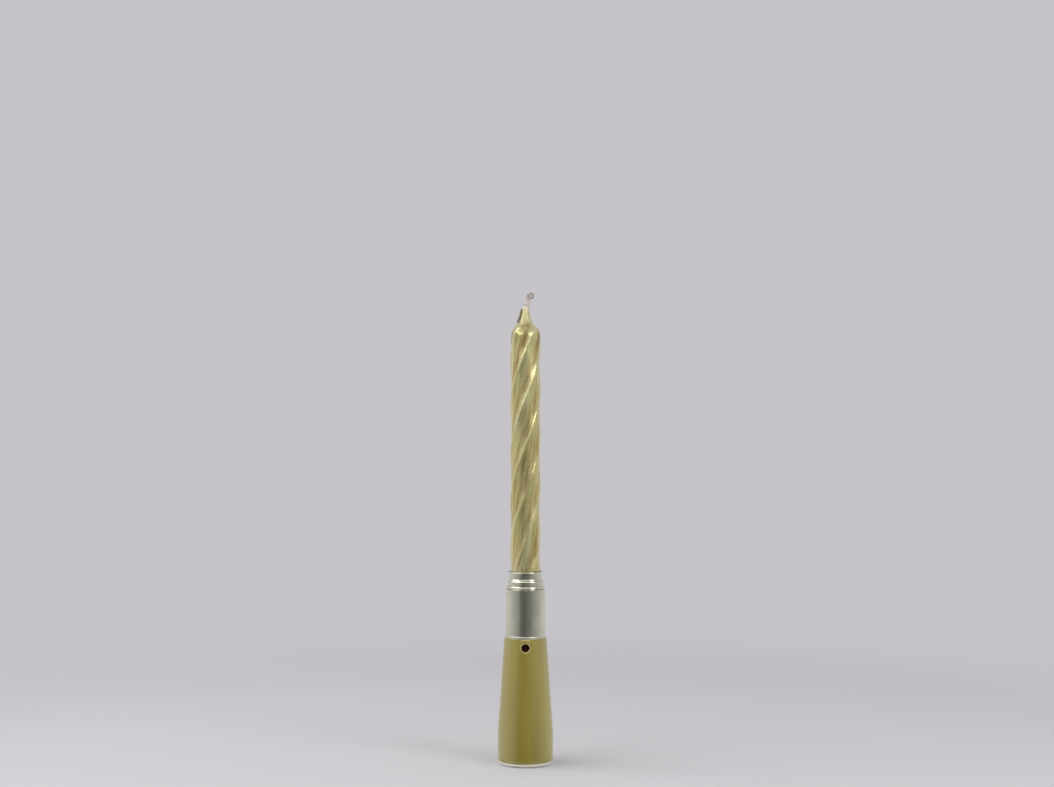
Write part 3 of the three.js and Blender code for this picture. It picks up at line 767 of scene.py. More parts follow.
def makeShell(finishes):
    low, high = boxOf("base_shell")
    foot, spigotTop, spigot, wall = high.x, high.z, shell["spigotRadius"], shell["wall"]
    shoulder = boxOf("ferrule")[0].z
    shoulderRadius = spigot + shell["ferruleRoom"] + shell["ledge"]
    cupBottom = spigotTop - shell["cupDepth"]
    boreTop = cupBottom - shell["floor"]
    ceiling = shoulder - shell["ceiling"]
    outside = shellOutline(foot, low.z, shoulder, shoulderRadius, shoulder)
    inside = shellOutline(foot - wall, low.z, shoulder, shoulderRadius - wall, ceiling)
    cup, hole, bore = shell["cupRadius"], shell["holeRadius"], shell["boreRadius"]
    profile = outside + [
        (spigot, shoulder), (spigot, spigotTop), (cup, spigotTop), (cup, cupBottom),
        (hole, cupBottom), (hole, boreTop), (bore, boreTop), (bore, ceiling),
    ] + inside[::-1]
    body = turnedPiece("baseShell", profile, roundSides)
    roundEdges(body, shell["round"], 2)
    height, radius, depth = shell["portHeight"], shell["portRadius"], shell["portEdgeDepth"]
    (start, end), (wide, over), face = shell["drill"], shell["over"], outside[-1][0] + shell["portFace"]
    drill = rodPiece("drill", radius, (0, start, height), (0, end, height))
    countersink = turnedPiece("countersink", [
        (radius / 2, -depth), (radius, -depth), (radius + shell["portEdge"], 0), (radius + wide, over),
        (radius / 2, over)])
    countersink.rotation_euler = (math.pi / 2, 0, 0)
    countersink.location = (0, -face * mm, height * mm)
    cutWith(body, drill, countersink)
    smooth(body, 30)
    dress(body, finishes["lacquer"], "holder", "shell_plastic", "base_shell")


# Foot cap
cap = {
    "thickness": 1.4,
    "edge": 1.3,
    "plugGap": 0.1,
    "plugWall": 0.94,
    "ledge": 0.6,
    "ledgeHeight": 0.5,
    "groove": (2.4, 3.4),
    "grooveDepth": 0.35,
    "notch": (3.0, 0.6, 0.5),
    "seam": 0.06,
    "round": 0.08,
    "footHighlight": [(0.84, 1.0), (1.0, 0.0)],  # height, and share of the foot's rounding painted pale as a highlight
}


def makeFootCap(finishes):
    low, high = boxOf("foot_cap")
    foot, plugTop = high.x, high.z
    plug = foot - shell["wall"] - cap["plugGap"]
    bore = plug - cap["plugWall"]
    thickness = cap["thickness"]
    ledgeTop = thickness + cap["ledgeHeight"]
    inner, outer = cap["groove"]
    profile = [(inner, 0), (inner, cap["grooveDepth"]), (outer, cap["grooveDepth"]), (outer, 0)]
    profile += arc((foot - cap["edge"], cap["edge"]), cap["edge"], -90, 0, 12)
    profile += [(foot, thickness - cap["seam"]), (foot - cap["seam"], thickness), (plug, thickness)]
    profile += [(plug, plugTop), (bore, plugTop), (bore, ledgeTop), (bore - cap["ledge"], ledgeTop)]
    profile += [(bore - cap["ledge"], thickness)]
    body = turnedPiece("footCap", profile, roundSides, "caps")
    roundEdges(body, cap["round"], 2)
    width, depth, height = cap["notch"]
    notch = blockPiece("notch", (-width / 2, foot - depth, thickness - height),
                       (width / 2, foot + depth, thickness + height))
    cutWith(body, notch)
    smooth(body, 30)
    dress(body, finishes["lacquer"], "module", "cap_plastic", "foot_cap")


# Ferrule
ferrule = {
    "wall": 0.22,
    "rim": 0.08,
    "rimHeight": 0.55,
    "rimRound": 0.28,
    "lip": 0.5,
    "neckRadius": 3.82,
    "neck": 1.3,
    "bead": 0.42,
    "beadPitch": 1.3,
    "beadSteps": (0.15, 0.35),
    "beadArc": (-62, 84),
    "droop": 0.12,
    "shoulderRound": 0.04,
    "neckRound": 0.08,
    "flare": 0.5,
    "flareDrop": 0.55,
    "lipOut": 0.26,
    "lipRound": 0.11,
    "lining": (0.05, 0.6, 0.2),  # inside the lip: play and depth, and the barrel's drop
    "rimFade": [(0.45, 1.0), (0.62, 0.0)],     # height, and share of the dull rim
    "insideShade": [(3.66, 1.0), (3.71, 0.0)],  # radius, and share of the inside painted dark as shade
    "lipShadeStep": (0.12, 0.06, 0.26),  # between these depths under the lip's top the painted shade widens by so much
}


def makeFerrule(finishes):
    low, high = boxOf("ferrule")
    bottom, top = low.z, high.z
    radius = high.x - ferrule["rim"]
    wall, neckRadius, bead = ferrule["wall"], ferrule["neckRadius"], ferrule["bead"]
    neckBottom = top - ferrule["lip"] - ferrule["neck"]
    upper = neckBottom - bead
    lower = upper - ferrule["beadPitch"]
    barrelTop = lower - 2 * bead
    lowerReach, upperReach = (radius - step for step in ferrule["beadSteps"])
    rimTop = bottom + ferrule["rimHeight"]
    rim, lip = ferrule["rim"], neckRadius + ferrule["lipOut"]
    soft, fold, roll, flare = (ferrule[key] for key in ("shoulderRound", "neckRound", "lipRound", "flare"))
    droop, (beadStart, beadEnd), (play, depth, drop) = ferrule["droop"], ferrule["beadArc"], ferrule["lining"]
    profile = [(radius - wall, bottom), (radius + rim, bottom)]
    for step in range(7):
        turn = math.pi / 12 * step
        profile.append((radius + rim * math.cos(turn), rimTop - ferrule["rimRound"] * (1 - math.sin(turn))))
    profile += [(radius, bottom + (barrelTop - bottom) * step / 4) for step in range(1, 4)]
    shoulder = lower - droop + bead * math.sin(math.radians(beadStart))
    profile += arc((radius - soft, shoulder - 2 * soft), soft, 0, 80, 4)
    profile += arc((lowerReach - bead, lower - droop), bead, beadStart, beadEnd, 14)
    profile += arc((upperReach - bead, upper - droop), bead, beadStart, beadEnd, 14)
    profile += arc((neckRadius + fold, neckBottom + 2 * fold), fold, -150, -180, 3)
    profile += arc((neckRadius + flare, top - ferrule["flareDrop"]), flare, 180, 128, 6)
    profile += arc((lip - roll, top - roll), roll, 0, 180, 8)
    profile += [(neckRadius - wall + play, top - depth), (neckRadius - wall, neckBottom - wall)]
    profile += [(radius - wall, barrelTop - drop)]
    body = turnedPiece("platedFerrule", profile, roundSides)
    smooth(body, 40)
    dress(body, finishes["plated"], "holder", "ferrule_plating", "ferrule")


# Wax candle: a bar with five low ridges, drawn up in turning steps, then subdivided
wax = {
    "ridges": 5,
    "section": [3.60, 3.45, 3.40, 3.37, 3.35, 3.34, 3.335],  # a ridge to the middle of a face
    "lead": 55.0,
    "looseLead": 170.0,  # of the drawn streaks in the gold
    "streakTones": [(0.32, srgb(196, 179, 122)), (0.5, srgb(205, 193, 137)), (0.7, srgb(213, 208, 162))],
    "darkStreaks": [(0.37, 1.0), (0.46, 0.0)],
    "paleStreaks": [(0.53, 0.0), (0.63, 0.50)],
    "ridgeFront": 84.7,
    "ridgeTintsAndShade": [  # tints from one ridge round to the next: an olive tint, and a dark brown band painted as shade beside each ridge
        (0.0, (1.0, 1.0, 1.0)), (0.10, (0.98, 1.0, 0.98)), (0.26, (0.87, 0.94, 0.72)),
        (0.40, (0.99, 0.98, 0.94)), (0.54, (0.94, 0.88, 0.80)), (0.66, (0.72, 0.62, 0.44)),
        (0.76, (0.94, 0.90, 0.84)), (0.88, (1.0, 1.0, 1.0)), (1.0, (1.0, 1.0, 1.0)),
    ],
    "crest": [(0.02, 1.0), (0.12, 0.0), (0.88, 0.0), (0.96, 1.0)],   # part of a face with no dark streak
    "creaseShade": [(0.40, 0.0), (0.54, 1.0), (0.76, 1.0), (0.86, 0.0)],  # part of a face painted dark as shade at the shoulder
    "creaseShadeHeight": [(94.0, 0.0), (97.6, 1.0), (100.0, 1.0), (101.2, 0.0)],
    "coneHeight": [(101.8, 0.0), (102.4, 1.0)],
    "bareHeight": [(105.6, 0.0), (105.9, 1.0)],
    "stub": 3.3,
    "stubSteps": [(0.7, 3.38), (1.3, 3.32)],  # depth under the lip's flare, and radius
    "lipFlare": 0.5,
    "endShare": 0.3,
    "step": 1.8,
    "bodyLength": 55.3,
    "tip": [  # height over the body's top, radius of a ridge and how much deeper the faces are drawn in
        (-1.1, 3.60, 0.0), (-0.3, 3.59, 0.0), (0.3, 3.51, 0.02), (0.72, 3.35, 0.05), (1.10, 3.10, 0.07),
        (1.45, 2.78, 0.07), (1.78, 2.42, 0.05), (2.08, 2.10, 0.02), (2.38, 1.82, -0.01), (2.68, 1.60, -0.04),
        (3.05, 1.43, -0.06), (3.6, 1.28, -0.08), (4.3, 1.11, -0.08), (5.0, 0.95, -0.08), (5.6, 0.85, -0.08),
        (5.9, 0.82, -0.08), (6.12, 0.72, -0.08), (6.26, 0.5, -0.08),
    ],
    "lump": 0.05,
    "lumpSize": 3.0,
}


def turnTo(height):
    # the twist at a height in mm, as the angle of a ridge from +X
    return 2 * math.pi * (height - wax["ridgeFront"]) / wax["lead"] - math.pi / 2


def atHeight(vertex, height):
    return abs(vertex.co.z - height * mm) < 1e-6


def shapeSection(piece, height, lobe):
    # draws the ring's points in to the ridged section
    for offset, radius in enumerate(lobe[1:], 1):
        selectWhere(piece, lambda vertex: vertex.index % len(lobe) == offset)
        scaleAbout((0, 0, height), radius / lobe[0], radius / lobe[0], 1)
    bpy.ops.mesh.select_all(action="SELECT")


def raiseRing(start, end):
    # start and end are (height, radius, depth of the faces)
    (low, near, _), (high, far, _) = start, end
    pullUp(high - low)
    bpy.ops.transform.rotate(value=turnTo(low) - turnTo(high), orient_axis="Z",
                             center_override=(0, 0, high * mm))
    scaleAbout((0, 0, high), far / near, far / near, 1)


def deepenFaces(piece, start, end, columns):
    # draws the last ring's faces in between its ridges, from the depth below to its own
    (_, _, before), (height, _, after) = start, end
    if before == after:
        return

    def columnOf(vertex):
        turn = math.atan2(vertex.co.y, vertex.co.x) - turnTo(height)
        column = round(turn / (2 * math.pi) * wax["ridges"] * columns) % columns
        return min(column, columns - column)

    for offset in range(1, columns // 2 + 1):
        weight = (1 - math.cos(2 * math.pi * offset / columns)) / 2
        share = (1 - after * weight) / (1 - before * weight)
        selectWhere(piece, lambda vertex: atHeight(vertex, height) and columnOf(vertex) == offset)
        scaleAbout((0, 0, height), share, share, 1)
    selectWhere(piece, lambda vertex: atHeight(vertex, height))


def closeEnd(end):
    pullUp(0)
    scaleAbout((0, 0, end[0]), wax["endShare"], wax["endShare"], 1)
    bpy.ops.mesh.edge_face_add()


def makeWax(finishes):
    stubEnd = boxOf("wax_candle")[0].z
    lipTop = boxOf("ferrule")[1].z
    bottom, ridge = lipTop - wax["lipFlare"], wax["section"][0]
    lobe = wax["section"] + wax["section"][-2:0:-1]
    deselectAll()
    bpy.ops.mesh.primitive_circle_add(vertices=wax["ridges"] * len(lobe), radius=ridge * mm,
                                      location=(0, 0, bottom * mm))
    bar = bpy.context.object
    bar.name = "waxCandle"
    bar.rotation_euler = (0, 0, turnTo(bottom) - math.pi / 2)  # the circle's first point is at +Y
    bpy.ops.object.transform_apply()
    editAll()
    shapeSection(bar, bottom, lobe)
    length = lipTop + wax["bodyLength"] - bottom
    steps = round(length / wax["step"])
    levels = [(bottom + length * step / steps, ridge, 0) for step in range(steps - 1)]
    levels += [(lipTop + wax["bodyLength"] + rise, radius, depth) for rise, radius, depth in wax["tip"]]
    for start, end in zip(levels, levels[1:]):
        raiseRing(start, end)
        deepenFaces(bar, start, end, len(lobe))
    closeEnd(levels[-1])
    # the turned-down stub that stands in the cup
    selectWhere(bar, lambda vertex: atHeight(vertex, bottom))
    levels = [levels[0]] + [(bottom - drop, radius, 0) for drop, radius in wax["stubSteps"]]
    levels += [(stubEnd, wax["stub"], 0)]
    for start, end in zip(levels, levels[1:]):
        raiseRing(start, end)
    closeEnd(levels[-1])
    turnOutwards()
    applyModifier(bar, "SUBSURF", levels=2, render_levels=2)
    lumps = bpy.data.textures.new("waxLumps", "CLOUDS")
    lumps.noise_scale, lumps.noise_depth = wax["lumpSize"] * mm, 1
    applyModifier(bar, "DISPLACE", texture=lumps, texture_coords="LOCAL", strength=wax["lump"] * mm,
                  mid_level=0.5)
    smooth(bar, 60, False)
    dress(bar, finishes["wax"], "candle", "gold_wax", "wax_candle")
    print("wax candle drawn")


# Wick: three waxed plies leaning over into a curl
wick = {
    "ply": 0.33,
    "lay": 0.24,
    "splay": 0.36,
    "curlShare": 0.42,  # the frayed end is thinner
    "splayAt": 0.10,
    "pitch": 1.9,
    "offset": 0.31,
    "azimuth": 25,
    "lean": 1.28,
    "rise": 2.88,
    "curl": 0.57,
    "curlStart": 205,
    "curlTurn": 285,
    "curlShift": 0.4,
    "curlSteps": 10,
    "drift": -0.16,
    "samples": 150,
    "thinning": (0.3, 4),  # where it starts along the wick, and how fast it goes
    "splayRate": 3,
    "greyHeight": [(107.6, 0.0), (108.2, 1.0)],
}


def wickLine(top):
    turn = math.radians(wick["azimuth"])
    foot = Vector((math.cos(turn), math.sin(turn), 0)) * wick["offset"]
    centre = Vector((wick["lean"], 0, top + wick["rise"]))
    line = [foot + Vector((0, 0, top - 3)), foot + Vector((wick["drift"] / 2, 0, top - 1)),
            foot + Vector((wick["drift"], 0, top))]
    curl = []
    for step in range(wick["curlSteps"] + 1):
        share = step / wick["curlSteps"]
        angle = math.radians(wick["curlStart"] - wick["curlTurn"] * share)
        curl.append(centre + Vector((math.cos(angle) * wick["curl"], wick["curlShift"] * share,
                                     math.sin(angle) * wick["curl"])))
    middle = Vector(((foot.x + curl[0].x) / 2, foot.y / 2, top + wick["rise"] / 2))
    return line + [middle] + curl


def smoothLine(points, count):
    # a Catmull-Rom line through points, sampled count times
    out = []
    spans = len(points) - 1
    for step in range(count + 1):
        place = step / count * spans
        i = min(int(place), spans - 1)
        t = place - i
        a, b, c, d = (points[max(i - 1, 0)], points[i], points[i + 1], points[min(i + 2, spans)])
        out.append(0.5 * (2 * b + (c - a) * t + (2 * a - 5 * b + 4 * c - d) * t * t
                          + (3 * b - a - 3 * c + d) * t * t * t))
    return out


def makeWick(finishes):
    top = boxOf("wax_candle")[1].z
    line = smoothLine(wickLine(top), wick["samples"])
    thinFrom, thinRate = wick["thinning"]
    plies = []
    for ply in range(3):
        points, shares, travelled = [], [], 0.0
        side = Vector((0, 1, 0))
        for i, point in enumerate(line):
            ahead = (line[min(i + 1, len(line) - 1)] - line[max(i - 1, 0)]).normalized()
            side = (side - ahead * side.dot(ahead)).normalized()
            across = ahead.cross(side)
            travelled += (point - line[i - 1]).length if i else 0
            angle = 2 * math.pi * (travelled / wick["pitch"] + ply / 3)
            above = (point.z - top) / wick["rise"]
            thinned = min(1.0, max(0.0, (i / len(line) - thinFrom) * thinRate))
            share = 1 - (1 - wick["curlShare"]) * thinned
            splayed = max(0.0, 1 - abs(above - wick["splayAt"]) * wick["splayRate"])
            lay = wick["lay"] * share + wick["splay"] * splayed
            points.append(point + (side * math.cos(angle) + across * math.sin(angle)) * lay)
            shares.append(share)
        plies.append(strandPiece("wickPly", points, wick["ply"], 2, 8, shares))
    thread = gather(*plies)
    thread.name = "wickThread"
    dress(thread, finishes["cotton"], "candle", "wick_cotton", "wick")


# Optical fibre: its free end lies down the cone's left flank
fibre = {
    "radius": 0.22,
    "azimuth": 205,
    "offset": 0.31,
    "below": 0.7,
    "line": [  # distance from the axis and depth under the tip's top
        (0.31, 3.0), (0.31, 1.2), (0.34, 0.6), (0.58, 0.12), (0.94, 0.28), (1.10, 0.9), (1.30, 1.6),
        (1.58, 2.4), (2.02, 3.35),
    ],
}


def makeFibre(finishes):
    low, high = boxOf("wax_candle")
    turn = math.radians(fibre["azimuth"])
    line = [(fibre["offset"], low.z - fibre["below"]), (fibre["offset"], (low.z + high.z) / 2)]
    line += [(radius, high.z - depth) for radius, depth in fibre["line"]]
    points = [(math.cos(turn) * radius, math.sin(turn) * radius, height) for radius, height in line]
    strand = strandPiece("fibreStrand", points, fibre["radius"], 10, 12)
    dress(strand, finishes["fibre"], "candle", "fibre_plastic", "optical_fibre")


# Sounder in the foot cap: brass plate, silvered ceramic and the foam ring that holds it down
sounder = {
    "edge": 0.04,
    "bareRim": 0.22,
    "silver": 0.015,
    "silverDepth": 0.05,  # how far the coat reaches into the ceramic
    "foamWidth": 0.55,
    "foamWaist": 0.05,
    "foamBead": 0.3,
    "foamRound": 0.12,
}


def makeSounder(finishes):
    low, high = boxOf("piezo_plate")
    edge = sounder["edge"]
    plate = turnedPiece("soundPlate", discEdge(high.x, low.z, high.z, edge), roundSides, "caps")
    smooth(plate)
    dress(plate, finishes["brass"], "module", "sounder_brass", "piezo_plate")

    low, high = boxOf("piezo_ceramic")
    face = high.z - sounder["silver"]
    wafer = turnedPiece("ceramicWafer", [(high.x, low.z), (high.x, face - edge), (high.x - edge, face)],
                        roundSides, "caps")
    silver = high.x - sounder["bareRim"]
    coat = turnedPiece("silverCoat", [(silver, face - sounder["silverDepth"]), (silver, face),
                                      (silver - sink, high.z)], roundSides, "caps")
    smooth(wafer)
    smooth(coat)
    wafer = gather(paint(wafer, finishes["ceramic"]), paint(coat, finishes["silver"]))
    seat(wafer, "module", "sounder_ceramic", "piezo_ceramic")

    low, high = boxOf("piezo_foam_ring")
    waist, bead, middle = sounder["foamWaist"], sounder["foamBead"], (low.z + high.z) / 2
    inner, outer = high.x - sounder["foamWidth"], high.x
    foam = turnedPiece("foamRing", [
        (inner, low.z), (outer, low.z), (outer, low.z + bead), (outer - waist, middle),
        (outer, high.z - bead), (outer, high.z), (inner, high.z), (inner, high.z - bead),
        (inner + waist, middle), (inner, low.z + bead)], roundSides)
    roundEdges(foam, sounder["foamRound"], 3, 40)
    smooth(foam, 60, False)
    dress(foam, finishes["foam"], "module", "grey_foam", "piezo_foam_ring")


# Cell holder: an open cup on a flange, slotted for the contact's tab and the sounder's leads
holder = {
    "inner": 4.07,
    "outer": 4.55,
    "floor": 0.6,
    "fillet": 0.22,
    "round": 0.08,
    "cutRound": 0.15,
    "tabSlot": (0.9, 2.5, 1.6),  # half width, nearest the axis and height over the floor
    "notch": (0.45, 2.7, 1.6),
    "notchSpread": 35,
}


def makeHolder(finishes):
    low, high = boxOf("cell_holder")
    inner, outer, fillet = holder["inner"], holder["outer"], holder["fillet"]
    flange = max(high.x, high.y)
    floorTop = low.z + holder["floor"]
    profile = [(faceRing, low.z), (flange, low.z), (flange, floorTop)]
    profile += arc((outer + fillet, floorTop + fillet), fillet, -90, -180, 6)
    profile += [(outer, high.z), (inner, high.z), (inner, floorTop), (faceRing, floorTop)]
    cup = turnedPiece("cellHolder", profile, roundSides, "caps")
    roundEdges(cup, holder["round"], 3)
    half, near, height = holder["tabSlot"]
    cutters = [blockPiece("tabSlot", (-half, near, floorTop), (half, flange + 1, floorTop + height))]
    half, near, height = holder["notch"]
    for azimuth in (90 + holder["notchSpread"], 90 - holder["notchSpread"]):
        notch = blockPiece("leadNotch", (near, -half, low.z - 1), (flange + 1, half, floorTop + height))
        cutters.append(moveTo(notch, (0, 0, 0), (0, 0, azimuth)))
    for cutter in cutters:
        roundEdges(cutter, holder["cutRound"], 3)
    cutWith(cup, *cutters)
    smooth(cup)
    dress(cup, finishes["white"], "module", "white_plastic", "cell_holder")


# Button cells: steel cap, plastic gasket and the can that is rolled over it
cell = {
    "capRadius": 3.0,
    "capRound": 0.28,
    "capFlat": 0.9,  # from the cap's flank to the ring that closes its face
    "inside": 0.6,   # height at which what the can hides is closed
    "sealRises": (0.28, 0.24, 0.33),  # at the cap, over its crown and at the lip
    "sealCrown": 0.1,
    "lip": 3.3,
    "lipHeight": 0.4,
    "lipRound": 0.06,
    "roll": 0.3,
    "edge": 0.18,
    "pressedRing": (2.86, 3.0, 0.04),
}


def makeCell(finishes, name, node):
    low, high = boxOf(node)
    radius, bottom, top = high.x, low.z, high.z
    capRadius, capRound, lip, roll, edge = (
        cell[key] for key in ("capRadius", "capRound", "lip", "roll", "edge"))
    inside = bottom + cell["inside"]
    outline = [(capRadius - cell["capFlat"], bottom)]
    outline += arc((capRadius - capRound, bottom + capRound), capRound, -90, 0, 6) + [(capRadius, inside)]
    face = turnedPiece("cellCap", outline, roundSides, "caps")
    atCap, crown, atLip = (bottom + rise for rise in cell["sealRises"])
    seal = turnedPiece("cellSeal", [
        (capRadius - sink, inside), (capRadius, atCap), (capRadius + cell["sealCrown"], crown), (lip, atLip),
        (lip + sink, inside)], roundSides)
    rolled, curl = bottom + cell["lipHeight"], cell["lipRound"]
    outline = [(lip, inside)] + arc((lip + curl, rolled + curl), curl, 180, 270, 4)
    outline += arc((radius - roll, rolled + roll), roll, -90, 0, 8)
    outline += arc((radius - edge, top - edge), edge, 0, 90, 6)
    near, far, depth = cell["pressedRing"]
    outline += [(far + depth, top), (far, top - depth), (near, top - depth), (near - depth, top)]
    can = turnedPiece(name, outline, roundSides, "caps")
    for body in (face, seal, can):
        smooth(body, 40)
    can = gather(paint(can, finishes["steel"]), paint(face, finishes["capSteel"]),
                 paint(seal, finishes["gasket"]))
    seat(can, "module", "cell_steel", node)


# Contacts: a pipped plate under the cells with a tab, and a flat one over them with a strip to the board
contact = {
    "radius": 2.5,
    "thickness": 0.2,
    "pip": [(1.5, 0), (1.4, -0.06), (1.22, -0.06), (1.1, 0), (0.92, 0.07), (0.66, 0.22), (0.3, 0.3)],
    "stripHalf": 0.6,
    "edge": 0.05,
    "overlap": 0.5,
    "drop": (0.5, 0.42),  # radius and height of the solder
}


def makeContacts(finishes):
    low, high = boxOf("negative_contact")
    radius, half, edge = contact["radius"], contact["stripHalf"], contact["edge"]
    top = low.z + contact["thickness"]
    profile = discEdge(radius, low.z, top, edge) + [(out, top + rise) for out, rise in contact["pip"]]
    plate = turnedPiece("negativeContact", profile, roundSides, "caps")
    tab = blockPiece("tab", (-half, radius - contact["overlap"], low.z), (half, high.y, top))
    roundEdges(tab, edge, 2)
    joinWith(plate, tab)
    smooth(plate)
    dress(plate, finishes["brass"], "module", "contact_metal", "negative_contact")

    low, high = boxOf("positive_contact")
    boardFront = boxOf("circuit_board")[0].y
    top = low.z + contact["thickness"]
    plate = turnedPiece("positiveContact", discEdge(radius, low.z, top, edge), roundSides, "caps")
    strip = blockPiece("strip", (-half, boardFront - contact["thickness"], low.z), (half, boardFront, high.z))
    roundEdges(strip, edge, 2)
    joinWith(plate, strip)
    smooth(plate)
    paint(plate, finishes["brass"])
    drop = solderDome(finishes, (0, boardFront, high.z - edge), (90, 0, 0), *contact["drop"])
    seat(gather(plate, drop), "module", "contact_metal", "positive_contact")


# Board carrier: the cup's lid with two grooved posts
carrier = {
    "post": (2.5, 3.51, 0.91),  # nearest and furthest x, half depth
    "postRound": 0.12,
    "round": 0.1,
    "overlap": 0.1,
    "groove": 0.06,
    "slotHalf": 0.9,
    "slotDepth": (-0.9, -0.1),
}


def makeCarrier(finishes):
    low, high = boxOf("board_carrier")
    boardLow, boardHigh = boxOf("circuit_board")
    lidTop = boardLow.z
    lid = turnedPiece("boardCarrier", [
        (faceRing, low.z), (high.x, low.z), (high.x, lidTop), (faceRing, lidTop)], roundSides, "caps")
    roundEdges(lid, carrier["round"], 3)
    (near, far, depth), foot = carrier["post"], low.z + carrier["overlap"]
    posts = [blockPiece("post", (near, -depth, foot), (far, depth, high.z)),
             blockPiece("post", (-far, -depth, foot), (-near, depth, high.z))]
    for post in posts:
        roundEdges(post, carrier["postRound"], 3)
    joinWith(lid, *posts)
    gap, half, (front, back) = carrier["groove"], carrier["slotHalf"], carrier["slotDepth"]
    groove = blockPiece("groove", (boardLow.x - gap, boardLow.y - gap, lidTop),
                        (boardHigh.x + gap, boardHigh.y + gap, boardHigh.z))
    slot = blockPiece("slot", (-half, front, low.z - 1), (half, back, lidTop + 1))
    roundEdges(slot, carrier["round"], 3)
    cutWith(lid, slot, groove)
    smooth(lid)
    dress(lid, finishes["white"], "module", "white_plastic", "board_carrier")


# Circuit board: laminate slab with masked copper tracks, tinned pads and vias; points are (x, z) in mm
board = {
    "chamfer": 0.5,
    "trackRadius": 0.13,
    "trackFlat": 0.16,
    "frontTracks": [
        [(0, 16.8), (0, 17.5), (0.5, 18.1), (0.5, 19.0)],
        [(-1, 24.5), (-1, 23.3), (-0.8, 22.6), (-0.8, 21.5)],
        [(1, 24.5), (1, 23.3), (0.8, 22.6), (0.8, 21.5)],
        [(-1.5, 20.8), (-2.5, 21.3), (-2.5, 24.4), (-2.0, 25.1)],
        [(1.5, 20.8), (2.5, 21.3), (2.5, 24.4), (2.0, 25.1)],
        [(-1.3, 19.4), (-2.2, 18.7), (-2.2, 15.2), (-1.6, 14.6)],
        [(1.3, 19.4), (2.2, 18.7), (2.2, 15.2), (1.6, 14.6)],
        [(-0.5, 19.0), (-1.2, 17.8), (-1.2, 16.4)],
    ],
    "backTracks": [
        [(1.7, 16.8), (1.7, 17.7), (2.22, 18.5), (2.22, 19.6)],
        [(0, 15.9), (0, 18.3), (0.58, 19.0), (0.58, 19.6)],
        [(-1.7, 16.8), (-1.7, 17.7), (-2.07, 18.5), (-2.07, 19.6)],
        [(-0.73, 19.6), (-0.73, 20.9), (-0.97, 21.5), (-0.97, 22)],
        [(0.97, 22.0), (0.97, 21.2), (2.22, 20.8), (2.22, 19.6)],
        [(0, 23.8), (0, 24.4), (-0.7, 25.0), (-2.0, 25.1)],
        [(0.58, 19.6), (0.3, 21.4), (2.4, 22.2), (2.4, 24.3), (2.0, 25.1)],
    ],
    "frontVias": [(-2.0, 25.1), (2.0, 25.1), (-1.6, 14.6), (1.6, 14.6), (-1.2, 16.4)],
    "backVias": [(-2.0, 25.1), (2.0, 25.1), (-1.6, 14.6), (1.6, 14.6)],
    "padHeight": 0.03,
    "frontPads": [(0, 16.75, 1.5, 0.9), (-1, 24.9, 0.75, 1.5), (1, 24.9, 0.75, 1.5)],
    "backPads": [  # pads are x, z, width and height
        (0, 15.9, 1.0, 1.0), (1.7, 16.8, 1.0, 1.0), (-1.7, 16.8, 1.0, 1.0), (-0.97, 21.95, 0.6, 0.6),
        (0.97, 21.95, 0.6, 0.6), (0, 23.85, 0.6, 0.6), (-2.15, 19.6, 0.6, 1.0), (-0.65, 19.6, 0.6, 1.0),
        (0.5, 19.6, 0.6, 1.35), (2.3, 19.6, 0.6, 1.35),
    ],
    "via": (0.1, 0.24),
    "outline": (2.12, 2.26),  # painted round the chip
    "ringHeight": 0.035,
}


def flatRing(name, radii, sides):
    # a low ring that stands on a face
    (inner, outer), top = radii, board["ringHeight"]
    return turnedPiece(name, [(inner, -sink), (outer, -sink), (outer, top), (inner, top)], sides)


def makeBoard(finishes):
    low, high = boxOf("circuit_board")
    slab = blockPiece("circuitBoard", low, high)
    editAll()
    for side in (1, -1):
        selectWhere(slab, lambda vertex: vertex.co.x * side > 0 and atHeight(vertex, high.z))
        bpy.ops.mesh.bevel(offset=board["chamfer"] * mm, segments=1)
    bpy.ops.object.mode_set(mode="OBJECT")
    paint(slab, finishes["board"])
    slab.data.materials.append(finishes["laminate"].material)
    for face in slab.data.polygons:
        face.material_index = 0 if abs(face.normal.y) > 0.5 else 1  # sawn edges show the bare laminate
    parts = []
    for face, side in ((low.y, "front"), (high.y, "back")):
        outwards = -1 if side == "front" else 1
        for line in board[side + "Tracks"]:
            track = strandPiece("track", [(x, face, z) for x, z in line], board["trackRadius"], 6, 8)
            editAll()
            scaleAbout((0, face, 0), 1, board["trackFlat"], 1)
            parts.append(paint(track, finishes["track"]))
        for x, z in board[side + "Vias"]:
            via = moveTo(flatRing("via", board["via"], tinySides), (x, face, z), (-90 * outwards, 0, 0))
            parts.append(paint(via, finishes["tin"]))
        for x, z, width, height in board[side + "Pads"]:
            edge = face + outwards * board["padHeight"]
            pad = blockPiece("pad", (x - width / 2, min(face, edge), z - height / 2),
                             (x + width / 2, max(face, edge), z + height / 2))
            parts.append(paint(pad, finishes["tin"]))
    chipLow, chipHigh = boxOf("melody_chip")
    outline = moveTo(flatRing("chipOutline", board["outline"], roundSides),
                     (0, low.y, (chipLow.z + chipHigh.z) / 2), (90, 0, 0))
    parts.append(paint(outline, finishes["whitePaint"]))
    seat(gather(slab, *parts), "module", "board_laminate", "circuit_board")


